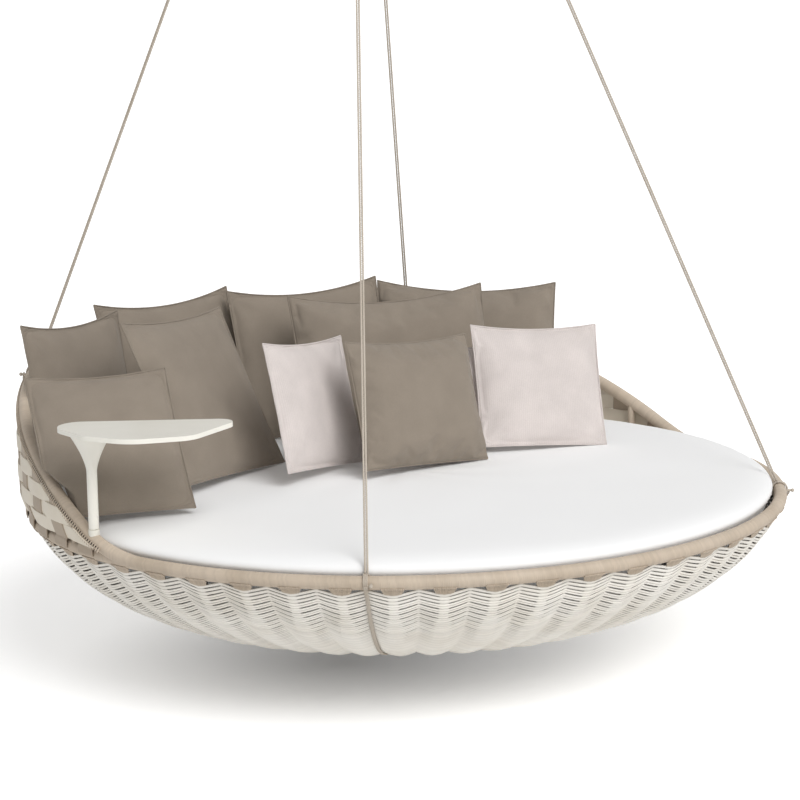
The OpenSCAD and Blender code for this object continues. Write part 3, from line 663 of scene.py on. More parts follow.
@dataclass(frozen=True)
class BedForm:
    """The bed's main curves, with the sizes of the CAD source."""

    centre: tuple[float, float, float]
    ring_r: float = 0.960
    wound_r: float = 0.017
    arch_r: float = 0.972
    arch_h: float = 0.372
    arch_front: float = 0.045
    arch_power: float = 1.36
    bowl_r: float = 0.968
    bowl_d: float = 0.307
    bowl_side: float = 0.512
    bowl_base: float = 1.466
    flutes: int = 50
    flute_depth: float = 0.012
    rope_front: float = math.radians(46.8)
    rope_back: float = math.radians(138.3)
    ease: float = 0.10

    def place(self, points: Array) -> Array:
        """Move points from the bed frame to the part's frame."""
        return np.asarray(points, float) + np.array(self.centre)

    @staticmethod
    def around(r: Values, a: Values, z: Values) -> Array:
        """Give points at a radius, an angle from the front and a height."""
        r, a, z = np.broadcast_arrays(r, a, z)
        return np.stack([r * np.sin(a), -r * np.cos(a), z], axis=-1).astype(float)

    @classmethod
    def tangent(cls, a: Values) -> Array:
        """Give the level direction along the ring at an angle."""
        return cls.around(1, a + math.pi / 2, 0)

    def arch_rule(self, a: Values) -> Array:
        """Give the height of the steel arch's centre line at an angle."""
        s = np.clip((self.arch_front - self.arch_r * np.cos(a)) / (self.arch_r + self.arch_front), 0, 1)
        return self.arch_h * (1 - (1 - s) ** self.arch_power)

    def merge(self, a: Values) -> Array:
        """Give 0 where the arch has run into the ring and 1 where it has left it."""
        away = np.arccos(np.clip(np.cos(a), -1, 1))
        return np.clip((away - self.arch_start + self.ease) / (2 * self.ease), 0, 1)

    def arch_z(self, a: Values) -> Array:
        """Give the height of the arch's centre line, which runs smoothly into the ring at both ends."""
        t, end, step = self.merge(a), self.arch_start + self.ease, 1e-4
        rise = float(self.arch_rule(end))
        slope = float(self.arch_rule(end + step) - self.arch_rule(end - step)) / (2 * step)
        eased = rise * (3 * t**2 - 2 * t**3) + slope * 2 * self.ease * (t**3 - t**2)
        return np.where(t < 1, eased, self.arch_rule(a))

    def arch_radius(self, a: Values) -> Array:
        """Give the radius of the arch's centre line, which is the ring's own at both ends."""
        t = self.merge(a)
        return self.ring_r + (self.arch_r - self.ring_r) * t * t * (3 - 2 * t)

    @property
    def arch_start(self) -> float:
        """Angle at which the arch leaves the ring."""
        return math.acos(self.arch_front / self.arch_r)

    def bowl(self, t: Array) -> tuple[Array, Array]:
        """Give radius and height of the bowl's outline at a parameter from 0 to 90 degrees."""
        c, s = np.maximum(np.cos(t), 1e-9), np.sin(t)
        return self.bowl_r * c**self.bowl_side, -self.bowl_d * s**self.bowl_base

    def bowl_table(self) -> dict[str, Array]:
        """Tabulate the outline from under the ring to the pole.

        Returns:
            Arc length, radius, height, inward normal and flute depth at each step.
        """
        t0 = math.asin((self.wound_r / self.bowl_d) ** (1 / self.bowl_base))
        t = t0 + (math.pi / 2 - t0) * np.linspace(0, 1, 4000) ** 0.8
        r, z = self.bowl(t)
        s = np.concatenate([[0], np.cumsum(np.hypot(np.diff(r), np.diff(z)))])
        dr, dz = np.gradient(r), np.gradient(z)
        size = np.maximum(np.hypot(dr, dz), 1e-12)
        share = ((t - t0) / (math.pi / 2 - t0)) ** (1 / 0.9)
        deep = self.flute_depth * (0.35 + 0.65 * np.sin(np.pi * share**0.8))
        return {"s": s, "r": r, "z": z, "nr": dz / size, "nz": -dr / size, "deep": deep}

    def crease(self, a: Array) -> Array:
        """Give 0 in the middle of a flute and 1 in the crease between two."""
        return 1 - np.abs(np.cos(a * self.flutes / 2))


# ------------------------------------------------------------------ woven bowl


@dataclass(frozen=True)
class Row:
    """One strand of the bowl's weave: its place down the wall, and how it closes the slit beside it."""

    s: float
    half: float
    shift: float = 0.0
    grow: float = 0.0
    reach: float = 0.19


@dataclass
class WovenBowl:
    """The fluted bowl, woven row by row from round strands over 50 stakes."""

    form: BedForm
    first: float = 0.0030
    single: float = 0.0082
    single_slit: float = 0.0032
    single_rows: int = 3
    pair: float = 0.0074
    pair_gap: float = 0.0012
    pair_slit: float = 0.0036
    open_pairs: int = 3
    fading_pairs: int = 4
    close: float = 0.0086
    close_slit: float = 0.0034
    close_reach: float = 1.1
    relief: float = 0.0031
    lift: float = 0.0130
    soft: float = 0.12
    tab_loops: int = 13
    tab_top: float = 0.054
    tab_low: float = 0.040
    tab_seat: tuple[float, ...] = (0.72, 0.98, 1.22)
    tab_drop: tuple[float, ...] = (0.002, 0.006, 0.010, 0.0135, 0.0162, 0.0172)
    tab_inset: tuple[float, ...] = (-0.0010, -0.0010, -0.0010, -0.0006, 0.0012, 0.0052)
    turn_rows: int = 36
    under_rows: int = 30
    stake_in: float = 0.0084
    stake_w: float = 0.006
    rosette_pitch: float = 0.0052
    samples: tuple[float, ...] = (-0.9, -0.65, -0.42, -0.24, -0.15, 0.0, 0.15, 0.24, 0.42, 0.65, 0.9, 1.0)

    def surface(self, s: Array, a: Array, inset: Values) -> Array:
        """Give points on the fluted wall.

        Args:
            s: Distance down the outline from the ring's underside.
            a: Angle from the front.
            inset: Distance inwards from the scalloped outside.

        Returns:
            Points in the bed frame.
        """
        table = self.table
        look = lambda key: np.interp(s, table["s"], table[key])
        inward = look("deep") * self.form.crease(a) + inset
        return self.form.around(look("r") + look("nr") * inward, a, look("z") + look("nz") * inward)

    @staticmethod
    def rise(u: Values, soft: float) -> Values:
        """Give a V that runs from 0 at the stake to 1 in the crease, with a softened point."""
        return (np.sqrt(u**2 + soft**2) - soft) / (math.sqrt(1 + soft**2) - soft)

    def schedule(self, length: float) -> list[Row]:
        """Space the strands: single ones under the rim, then pairs whose slits fade out, then close rows.

        Args:
            length: Length of the outline.

        Returns:
            The strands from the rim down.
        """
        rows, s = [], self.first
        for _ in range(self.single_rows):
            rows.append(Row(s + self.single / 2, self.single / 2, 0.0, self.single_slit / 2))
            s += self.single + self.single_slit
        for k in range(self.open_pairs + self.fading_pairs):
            fade = max(0.0, (k + 1 - self.open_pairs) / (self.fading_pairs + 1))
            slit = self.pair_slit * (1 - 0.55 * fade)
            half, grow = (self.pair - self.pair_gap) / 2, slit / 4 + self.pair_gap / 2
            for share, sign in ((0.5, -1), (1.5, 1)):
                rows.append(Row(s + share * self.pair, half, sign * slit / 4, grow, 0.19 + 0.3 * fade))
            s += 2 * self.pair + slit
        while s < length - 0.05:
            gap = self.close_slit * max(0.0, 1 - s / self.close_reach)
            rows.append(Row(s + self.close / 2, self.close / 2 * 1.03 - gap / 2, 0.0, gap / 2, 0.34))
            s += self.close
        return rows

    def weave(self, row: Row, length: float, samples: Sequence[float], rng: Rng
              ) -> tuple[Shape, Array]:
        """Sweep one strand round the bowl, low at the stakes and high in the creases.

        Args:
            row: The strand.
            length: Length of the outline.
            samples: Places across one flute, from -1 to 1.
            rng: Source of its small irregularities.

        Returns:
            The strand's shape, and the painted shade of each corner, by how far it faces inwards.
        """
        step, corners = np.pi / self.form.flutes, 6
        a = (np.arange(self.form.flutes)[:, None] * 2 * step + np.array(samples)[None, :] * step).ravel()
        u = np.tile(np.abs(samples), self.form.flutes)
        rise = self.rise(u, self.soft + 1.6 * row.s)
        wobble = sum(rng.uniform(0.00008, 0.00016) * np.sin(f * a + rng.uniform(0, 6.3)) for f in (7, 31, 83))
        closed = np.clip((row.reach + 0.05 - u) / 0.1, 0, 1) + np.clip((u - 0.9) / 0.08, 0, 1)
        share = np.clip((1 - row.s / length) * 1.1, 0.2, 1)
        s = row.s + self.lift * (1 - rise) * share + row.shift * closed + wobble
        tall = row.half + row.grow * closed
        deep = min(row.half, self.relief) * (0.95 - 0.12 * closed)
        path = self.surface(s, a, deep)
        above = self.surface(s - 0.002, a, deep)
        # Painted shade: corners on the inner side of each strand, and the slit walls between strands, are darkened.
        inward = np.clip(-np.sin(2 * np.pi * (np.arange(corners) + 0.5) / corners) + 0.2, 0, 1)
        return sweep(path, above - path, tall, deep, corners, True, 0.85, 0.5), np.tile(inward, len(a))

    def build(self) -> None:
        """Weave the bowl in zones, with its stakes and the wound tabs at the rim."""
        self.table = self.form.bowl_table()
        length = self.table["s"][-1]
        rng = np.random.default_rng(7)
        rows = self.schedule(length)
        open_rows = self.single_rows + 2 * (self.open_pairs + self.fading_pairs)
        half_way = (open_rows + len(rows)) // 2
        under, middle = open_rows + self.turn_rows, half_way + self.under_rows
        even = lambda n: tuple(np.arange(n) * 2 / n - 1 + 2 / n)
        zones = (("side", 0, open_rows, self.samples), ("turn", open_rows, under, even(8)),
                 ("under", under, middle, even(6)), ("middle", middle, len(rows), even(4)))
        for zone, first, last, samples in zones:
            parts = Parts(self.form)
            for row in rows[first:last]:
                shape, inward = self.weave(row, length, samples, rng)
                parts.add(shape, rng.uniform(0, 1), inward)
            parts.piece("bowl_weave_" + zone, Finish.CREAM, "lower_weave", f"strands {first} to {last}")
        self.stakes(length)
        self.tabs(rng)
        self.rosette(rows[-1].s + self.close / 2)

    def stakes(self, length: float) -> None:
        """Run a stake down the inside of each flute."""
        parts = Parts(self.form)
        for i in range(self.form.flutes):
            a = 2 * math.pi * i / self.form.flutes
            s = np.linspace(0.001, length - 0.05 if i % 2 == 0 else length * 0.72, 40)
            path = self.surface(s, np.full(40, a), self.stake_in)
            # The stakes get painted shade at a share of 0.8, as they lie in shade inside the weave.
            parts.add(sweep(path, self.form.tangent(a), self.stake_w / 2, 0.0024, 6), 0.4, 0.8)
        parts.piece("bowl_stakes", Finish.CREAM, "lower_weave", f"{self.form.flutes} stakes")

    def tabs(self, rng: Rng) -> None:
        """Wind the head of each stake with loops that hang from the ring over the first strand."""
        f, parts = self.form, Parts(self.form)
        s, over = np.array(self.tab_drop), f.wound_r + 0.0009
        for i in range(f.flutes):
            a = 2 * math.pi * i / f.flutes
            for k in range(self.tab_loops):
                x = 2 * k / (self.tab_loops - 1) - 1
                widths = np.interp([0, 0, 0, *s], [0, 0.016], [self.tab_top, self.tab_low]) / self.tab_loops
                spread = a + x * widths * (self.tab_loops - 1) / 2 / f.bowl_r
                reach = abs(x) * self.tab_low / 2 * f.flutes / np.pi / f.bowl_r
                length = rng.uniform(0.97, 1.02) * (1 - self.lift * self.rise(reach, self.soft) / s[-1])
                ring = f.around(f.ring_r + over * np.cos(self.tab_seat), spread[:3], -over * np.sin(self.tab_seat))
                path = np.concatenate([ring, self.surface(s * length, spread[3:], np.array(self.tab_inset))])
                parts.add(sweep(path, f.tangent(a), widths * 0.52, 0.0016, 6), rng.uniform(0, 1))
        parts.piece("rim_tabs", Finish.BEIGE, "lower_weave", f"{f.flutes} wound tabs")

    def rosette(self, end: float) -> None:
        """Close the middle of the bottom with a coiled rosette, from where the last strand ends."""
        parts = Parts(self.form)
        outer = float(np.interp(end + self.lift * 0.1, self.table["s"], self.table["r"]))
        n = int(outer / self.rosette_pitch)
        turn = np.linspace(0, n * 2 * np.pi, n * 40)
        r = outer * (1 - turn / turn[-1] * 0.98)
        path = self.form.around(r, turn, -self.form.bowl_d + 0.0062)
        parts.add(sweep(path, np.array([0.0, 0.0, 1.0]), self.rosette_pitch / 2, 0.0027, 6), 0.5)
        parts.piece("bowl_rosette", Finish.CREAM, "lower_weave", f"{n} turns")


# ------------------------------------------------------------------ wound tubes


@dataclass
class WoundTubes:
    """Flat strand wound tightly round ring, arch and struts, and the lacing under the arch."""

    form: BedForm
    pitch: float = 0.0052
    ripple: float = 0.00045
    strand_t: float = 0.0012
    strut_r: float = 0.009
    strut_low: float = 0.010
    lace_gap: float = 0.03
    tube_r: float = 0.0145
    stitch: float = 0.0078
    sides: int = 14
    strut_angles: tuple[float, ...] = (98, 122, 146, 170)
    band_r: float = 0.9723

    def tones(self, count: int, sides: int) -> Array:
        """Give each turn of strand its own shade, with slow drifts along the tube.

        Args:
            count: Number of points along the tube, four to a turn.
            sides: Corners round the tube.

        Returns:
            One shade per corner.
        """
        rng = np.random.default_rng(count)
        turns = rng.uniform(0, 1, count // 4 + 2) * 0.7 + 0.15 + 0.15 * np.sin(np.arange(count // 4 + 2) * 0.13)
        index = (np.arange(count)[:, None] / 4 + np.arange(sides)[None, :] / sides).astype(int)
        return turns[index].ravel()

    def wind(self, path: Array, side: Array, radius: Values, sides: int, closed: bool) -> Shape:
        """Wind strand round a tube.

        Args:
            path: The tube's centre line, four points to a turn of strand.
            side: Direction across the tube at each point.
            radius: Outer radius of the winding, one or per point.
            sides: Corners round the tube.
            closed: Whether the path closes on itself.

        Returns:
            Corners, quads and strand coordinates.
        """
        points, faces, strand = sweep(path, side, radius, radius, sides, closed)
        n = len(path)
        grid = points.reshape(n, sides, 3)
        phase = 2 * np.pi * (np.arange(n)[:, None] / 4 + np.arange(sides)[None, :] / sides)
        wave = np.abs(np.cos(phase / 2)) ** 0.7 - 1
        out = unit(grid - path[:, None, :])
        grid = grid + out * (self.ripple * wave * 1.6)[:, :, None]
        return grid.reshape(-1, 3), faces, strand[:, [1, 0, 2]] * [3, 1, 1]

    def build(self) -> None:
        """Wind the ring, the arch and the struts, then lace the back wall to the arch."""
        f = self.form
        n = int(2 * np.pi * f.ring_r / self.pitch) * 4
        a = 2 * np.pi * np.arange(n) / n
        parts = Parts(f)
        shape = self.wind(f.around(f.ring_r, a, 0), f.around(1, a, 0), f.wound_r, self.sides, True)
        parts.add(shape, self.tones(n, self.sides))
        parts.piece("ring_winding", Finish.BEIGE, "ring_wrap", f"{n // 4} turns")
        self.arch()
        self.struts()
        self.lacing()

    def arch(self) -> None:
        """Wind the arch, from where it leaves the ring's winding to where it runs into it again."""
        f = self.form
        fine = np.linspace(f.arch_start - f.ease, 2 * math.pi - f.arch_start + f.ease, 4000)
        line = f.around(f.arch_radius(fine), fine, f.arch_z(fine))
        run = distances(line)
        n = int(run[-1] / self.pitch) * 4
        a = np.interp(np.linspace(0, run[-1], n), run, fine)
        winding, tube = Parts(f), Parts(f)
        path = f.around(f.arch_radius(a), a, f.arch_z(a))
        radius = f.wound_r * (0.95 + 0.05 * np.clip(f.merge(a) * 3, 0, 1))
        winding.add(self.wind(path, f.around(1, a, 0), radius, self.sides, False), self.tones(n, self.sides))
        winding.piece("arch_winding", Finish.BEIGE, "arch_wrap", f"{n // 4} turns")
        tube.add(sweep(path[::16], f.around(1, a[::16], 0), self.tube_r, self.tube_r, 12), 0.5)
        tube.piece("arch_steel_tube", Finish.FRAME, "back_arch", "inside the winding")

    def struts(self) -> None:
        """Wind a thin sleeve round each strut, between ring and arch."""
        f, parts = self.form, Parts(self.form)
        for degrees in self.strut_angles:
            for side in (-1, 1):
                a = side * math.radians(degrees)
                top = float(f.arch_z(a)) - 0.008
                n = max(8, int((top - self.strut_low) / self.pitch) * 4)
                path = f.around(self.band_r - 0.0003 - self.strut_r, a, np.linspace(self.strut_low, top, n))
                parts.add(self.wind(path, f.around(1, a, 0), self.strut_r + self.strand_t, 10, False), 0.5)
        parts.piece("strut_winding", Finish.BEIGE, report=f"{2 * len(self.strut_angles)} struts")

    def lacing(self) -> None:
        """Tie the top edge of the back wall to the arch with small slanting stitches, over a thin strip painted
        near-black as the shade between them.
        """
        f, parts = self.form, Parts(self.form)
        rng = np.random.default_rng(11)
        first, last = f.arch_start + self.lace_gap, 2 * math.pi - f.arch_start - self.lace_gap
        angles = np.arange(first, last, self.stitch)
        r, z, over = f.arch_radius(angles), f.arch_z(angles), f.wound_r + self.strand_t
        # Painted shade: a thin strip under the stitches, darkened nearly to black, stands for the shade between them.
        shade_strip = f.around(r + f.wound_r + 0.0006, angles, z + 0.0004)
        parts.add(sweep(shade_strip, f.around(1, angles, 0), 0.0019, 0.0021, 6), 0.2, 0.9)
        for k, a in enumerate(angles):
            low, high = math.radians(7), math.radians(15)
            ends = [
                f.around(r[k] + f.wound_r + 0.0052, a - 0.0020, z[k] - 0.0085),
                f.around(r[k] + f.wound_r + 0.0054, a - 0.0012, z[k] - 0.0045),
                f.around(r[k] + over * math.cos(low), a + 0.0012, z[k] + over * math.sin(low)),
                f.around(r[k] + over * math.cos(high), a + 0.0022, z[k] + over * math.sin(high)),
            ]
            parts.add(sweep(spline(ends, 0.004), f.tangent(a), 0.0026, self.strand_t, 6), rng.uniform(0, 1))
        parts.piece("arch_lacing", Finish.BEIGE, report=f"{len(angles)} stitches")


# ------------------------------------------------------------------ back wall


@dataclass
class BackWall:
    """The wall between ring and arch: flat bands in plain weave."""

    form: BedForm
    inner_r: float = 0.9723
    band_t: float = 0.003
    band_h: float = 0.0385
    band_pitch: float = 0.0385
    first_z: float = 0.021
    upright_w: float = 0.063
    upright_step: float = 7.2
    swing: float = 0.0031
    upright_swing: float = 0.0004
    lean_height: float = 0.075
    top_gap: float = 0.004

    def limit(self, a: Array) -> Array:
        """Give the height of the wall's top edge, which is laced to the outside of the arch."""
        return self.form.arch_z(a) - self.top_gap

    def lean(self, a: Array, z: Array) -> Array:
        """Give how far the wall stands out at a height, to pass outside the arch's winding."""
        f = self.form
        out = f.arch_radius(a) + f.wound_r + 0.0018 - self.inner_r - self.band_t / 2
        share = np.clip(z / np.clip(f.arch_z(a), 0.02, self.lean_height), 0, 1)
        return out * share * share * (3 - 2 * share)

    def strap(self, r: Array, a: Array, z: Array, thick: float, order: list[int]) -> Shape:
        """Make a closed strap from its middle sheet.

        Args:
            r: Radius at each corner of the sheet.
            a: Angle at each corner, or one per row or column.
            z: Height at each corner.
            thick: Its thickness.
            order: Which coordinates run along, across and through it.

        Returns:
            Corners, quads and strand coordinates.
        """
        sheet, out = self.form.around(r, a, z), self.form.around(1, a, 0) * thick / 2
        rings = np.concatenate([sheet + out, (sheet - out)[:, ::-1]], axis=1)
        rows, sides, _ = rings.shape
        points = rings.reshape(-1, 3)
        return points, with_ends(grid_faces(rows, sides, False, True), rows, sides), points[:, order]

    def middle(self, a: Array, row: Array, swing: float) -> Array:
        """Give the radius at which a band runs, over and under the bands that it crosses."""
        column = np.degrees(a) / self.upright_step
        wave = np.cos(np.pi * column) * np.cos(np.pi * row)
        soft = np.sign(wave) * np.abs(wave) ** 0.55
        return self.inner_r + self.band_t + swing * soft

    def build(self) -> None:
        """Weave the horizontal and the upright bands."""
        f, rng = self.form, np.random.default_rng(5)
        rows = int((f.arch_h - f.wound_r - self.first_z) / self.band_pitch) + 1
        v = np.array([0, 0.06, 0.28, 0.5, 0.72, 0.94, 1])
        parts = Parts(f)
        for i in range(rows):
            low = self.first_z + i * self.band_pitch
            a = np.linspace(f.arch_start + 0.01, 2 * math.pi - f.arch_start - 0.01, 640)
            a = a[self.limit(a) > low + 0.0025]
            if len(a) < 8:
                continue
            top = np.minimum(low + self.band_h, self.limit(a))
            z = low + (top - low)[:, None] * v[None, :]
            r = self.middle(a, np.full(len(a), i), -self.swing)[:, None] - 0.0009 * (2 * v[None, :] - 1) ** 4
            r = r + self.lean(a[:, None], z)
            parts.add(self.strap(r, a[:, None], z, self.band_t, [0, 2, 1]), rng.uniform(0.2, 0.9))
        parts.piece("back_wall_bands", Finish.CREAM_BAND, "back_bands_horizontal", f"{rows} rows")
        self.uprights(rng)

    def uprights(self, rng: Rng) -> None:
        """Weave the upright bands, which turn in under the ring at their lower end."""
        f, parts = self.form, Parts(self.form)
        half = self.upright_w / 2 / self.inner_r
        seated = f.ring_r + f.wound_r + 0.0012 + self.band_t / 2
        u, v = np.array([-1, -0.9, -0.5, 0, 0.5, 0.9, 1]), np.linspace(0, 1, 44)
        for k in range(-30, 31):
            a0 = math.pi + k * math.radians(self.upright_step)
            if min(self.limit(np.array([a0 - half, a0 + half]))) < self.first_z + 0.012:
                continue
            a, low = a0 + half * u, -f.wound_r * 0.2
            z = low + (self.limit(a)[None, :] - low) * v[:, None]
            row = (z - self.first_z - self.band_h / 2) / self.band_pitch
            r = self.middle(np.full(z.shape, a0), row, self.upright_swing) - 0.0007 * u[None, :] ** 4
            r = r + self.lean(a[None, :], z)
            r = np.where(z < 0.018, np.maximum(r, seated - 0.004 * np.clip(-z / 0.01, 0, 1)), r)
            parts.add(self.strap(r, a[None, :], z, self.band_t * 0.98, [2, 0, 1]), rng.uniform(0.1, 0.9))
        parts.piece("back_wall_uprights", Finish.TAUPE_BAND, "back_bands_vertical", "woven")


# ------------------------------------------------------------------ suspension


@dataclass
class Suspension:
    """Four double rope lines with their lashings, slings and pegs."""

    form: BedForm
    strand_r: float = 0.00275
    strand_x: float = 0.00285
    ring_r: float = 0.040
    hook_z: float = -0.225
    lash_w: float = 0.0165
    sling_w: float = 0.011
    sling_t: float = 0.0055
    step: float = 0.0035
    plait: float = 0.011
    lay_length: float = 0.016
    ferrule_end: float = 0.0228
    eye_r: float = 0.0139
    wall_r: float = 0.9782
    lean: float = 0.0195
    twists: tuple[float, float] = (78.0, 45.0)

    @property
    def hook(self) -> Array:
        """Middle of the hanging ring."""
        return np.array([0.0, 0.0, self.hook_z]) - np.array(self.form.centre)

    def landing(self, back: bool, side: int) -> tuple[Array, Array]:
        """Give where a line lands: a point of the tube's centre line and the tube's direction there.

        Args:
            back: Whether it lands on the arch.
            side: -1 for left, 1 for right.

        Returns:
            The point and the direction.
        """
        f, step = self.form, 0.003
        a = side * (f.rope_back if back else f.rope_front)
        if not back:
            return f.around(f.ring_r, a, 0), f.tangent(a)
        before, here, after = (f.around(f.arch_r, b, f.arch_z(b)) for b in (a - step, a, a + step))
        return here, unit(after - before)

    def lay(self, parts: Parts, path: Array, side: Array) -> None:
        """Lay a rope from three twisted yarns along a path.

        Args:
            parts: Where the rope goes.
            path: Its centre line.
            side: A direction across it at each point.
        """
        along = unit(np.gradient(path, axis=0))
        side = square_to(np.broadcast_to(side, path.shape), along)
        up, run, thin = np.cross(along, side), distances(path), self.strand_r * 0.56
        for k in range(3):
            t = 2 * np.pi * (run / self.lay_length + k / 3)
            line = path + (self.strand_r - thin) * (np.cos(t)[:, None] * side + np.sin(t)[:, None] * up)
            parts.add(sweep(line, side, thin, thin, 6), 0.3 + 0.2 * k)

    def line(self, back: bool, side: int, name: str) -> None:
        """Make one line: a hairpin of rope up to the thimble and down again.

        Args:
            back: Whether it lands on the arch.
            side: -1 for left, 1 for right.
            name: The CAD node that it stands for.
        """
        land, _ = self.landing(back, side)
        outward = unit((land - self.hook) * [1, 1, 0])
        top = self.hook + self.ring_r * outward
        down = unit(land - top)
        across = unit(np.cross(down, outward))
        level = np.cross(across, down)
        length = float(np.linalg.norm(land - top)) - self.ferrule_end
        twist = math.radians(self.twists[1] if back else self.twists[0]) if back != (side > 0) else 0.0
        apart = self.strand_x
        turned = (apart * math.sin(twist), apart * math.cos(twist))
        local = [(*turned, z) for z in (length, length * 0.66, length * 0.33, 0.20)]
        local += [(0, apart, 0.078), (0.0012, apart, 0.068), (0.0030, 0.0012, 0.050), (0.0072, 0.0, 0.034)]
        for k in range(6):
            t = math.radians(34 - k * 124 / 6)
            local.append((self.eye_r * math.cos(t), 0, self.eye_r * math.sin(t) + (0.0 if k else 0.001)))
        local += [(0, 0, -self.eye_r)] + [(-x, -y, z) for x, y, z in reversed(local)]
        path = spline([top + x * level + y * across + z * down for x, y, z in local], self.step)
        parts = Parts(self.form)
        self.lay(parts, path, unit(np.cross(unit(np.gradient(path, axis=0)), across + 0.2 * level)))
        parts.piece(name + "_laid", Finish.ROPE, name, f"{distances(path)[-1]:.2f} m of rope")

    def lashings(self) -> None:
        """Wind the ends of each line round its tube."""
        parts, turns = Parts(self.form), 3
        radius = self.form.wound_r + 0.0003 + self.strand_r
        t = np.linspace(0.12, turns * 2 * np.pi - 0.12, turns * 30)[:, None]
        move = (t / (turns * 2 * np.pi) - 0.5) * (self.lash_w - 2 * self.strand_r)
        for back in (False, True):
            for side in (-1, 1):
                centre, axis = self.landing(back, side)
                first = unit(self.hook - centre)
                first = unit(first - (first @ axis) * axis)
                second = np.cross(axis, first)
                self.lay(parts, centre + radius * (np.cos(t) * first + np.sin(t) * second) + move * axis, axis)
        parts.piece("lashing_turns", Finish.ROPE, "rope_lashings", f"4 lashings of {turns} turns")

    def sling(self, side: int, drop: float, name: str) -> None:
        """Plait a flat sling from a front lashing down a crease, under the bowl and up the back wall.

        Args:
            side: 1 for the sling that starts at the left front.
            drop: How far it lies below the other one where they cross.
            name: The CAD node that it stands for.
        """
        f = self.form
        table = f.bowl_table()
        tube = f.wound_r + 0.0056 + self.sling_t / 2 + 0.0006
        front, back = -side * f.rope_front, side * f.rope_back
        points = []
        for degrees, closer in ((8, 0.0), (38, 0.001)):
            q = math.radians(degrees)
            points.append(f.around(f.ring_r + tube * math.cos(q) - closer, front, -tube * math.sin(q)))

        def under(s: float, a: float, tuck: float) -> Array:
            """Give a point below the bowl, at a distance down the outline and an angle, tucked into its crease."""
            look = lambda key: float(np.interp(s, table["s"], table[key]))
            inset = look("deep") * float(f.crease(np.array(a))) * tuck - self.sling_t / 2 - 0.0008
            inset = inset if tuck < 0.5 else inset - 0.0012
            low = drop * math.exp(-((look("r") / 0.09) ** 2))
            return f.around(look("r") + look("nr") * inset, a, look("z") + look("nz") * inset - low)

        length = table["s"][-1]
        points += [under(s, front, 1.0 if s < length * 0.8 else 0.4) for s in np.linspace(0.03, length - 0.03, 22)]
        points.append(f.around(0.0, 0.0, -f.bowl_d - self.sling_t / 2 - 0.0006 - drop))
        points += [under(s, back, 1.0) for s in np.linspace(length - 0.03, 0.03, 22)]
        wall, lean, z = self.wall_r + self.sling_t / 2 + 0.0014, self.lean, float(f.arch_z(back))
        upright = (0.3 * z, 0.5 * z, 0.75 * z, z - 0.030, z - 0.012)
        climb = [(0.0, -0.009), (0.004, 0.017), *((lean, h) for h in upright)]
        points += [f.around(wall + out, back, h) for out, h in climb]
        points.append(f.around(f.arch_r + tube + 0.0022, back, z))
        path = spline(points, self.step)
        half = int(np.argmin(np.hypot(path[:, 0], path[:, 1])))
        ramp = np.clip((np.arange(len(path)) - half) / 40 + 0.5, 0, 1)[:, None]
        along = unit(np.gradient(path, axis=0))
        across = square_to(unit(-f.tangent(front) * (1 - ramp) + f.tangent(back) * ramp + 1e-6), along)
        out, run = np.cross(along, across), distances(path)
        parts, strand_w = Parts(f), 0.0019
        for k in range(4):
            t = 2 * np.pi * (run / self.plait / 2 + k / 4)[:, None]
            line = path + (self.sling_w / 2 - strand_w) * np.cos(t) * across + strand_w / 2 * np.sin(2 * t) * out
            parts.add(sweep(line, across, strand_w, 0.0016, 6), 0.2 + 0.2 * k)
        parts.piece(name + "_plaited", Finish.ROPE, name, f"{run[-1]:.2f} m")

    def build(self) -> None:
        """Make lines, lashings and slings, and dress the fittings."""
        for back, depth in ((False, "front"), (True, "back")):
            for side, hand in ((-1, "left"), (1, "right")):
                self.line(back, side, f"rope_{depth}_{hand}")
        self.lashings()
        self.sling(1, 0.0, "sling_left")
        self.sling(-1, self.sling_t * 1.1 + 0.0008, "sling_right")
        dress(Finish.ROPE, "sling_pegs")
        dress(Finish.STEEL, "rope_thimbles", "rope_ferrules", "hanging_ring", "ring_nut", "hanger_yoke", "side_pin",
              "side_clip", "hanger_link", "swivel_bolt", "swivel_fork", "fore_aft_pin", "fore_aft_clip",
              "ceiling_plate", "thrust_washer")
        dress(Finish.BUSH, "swivel_bush")


# ------------------------------------------------------------------ soft goods


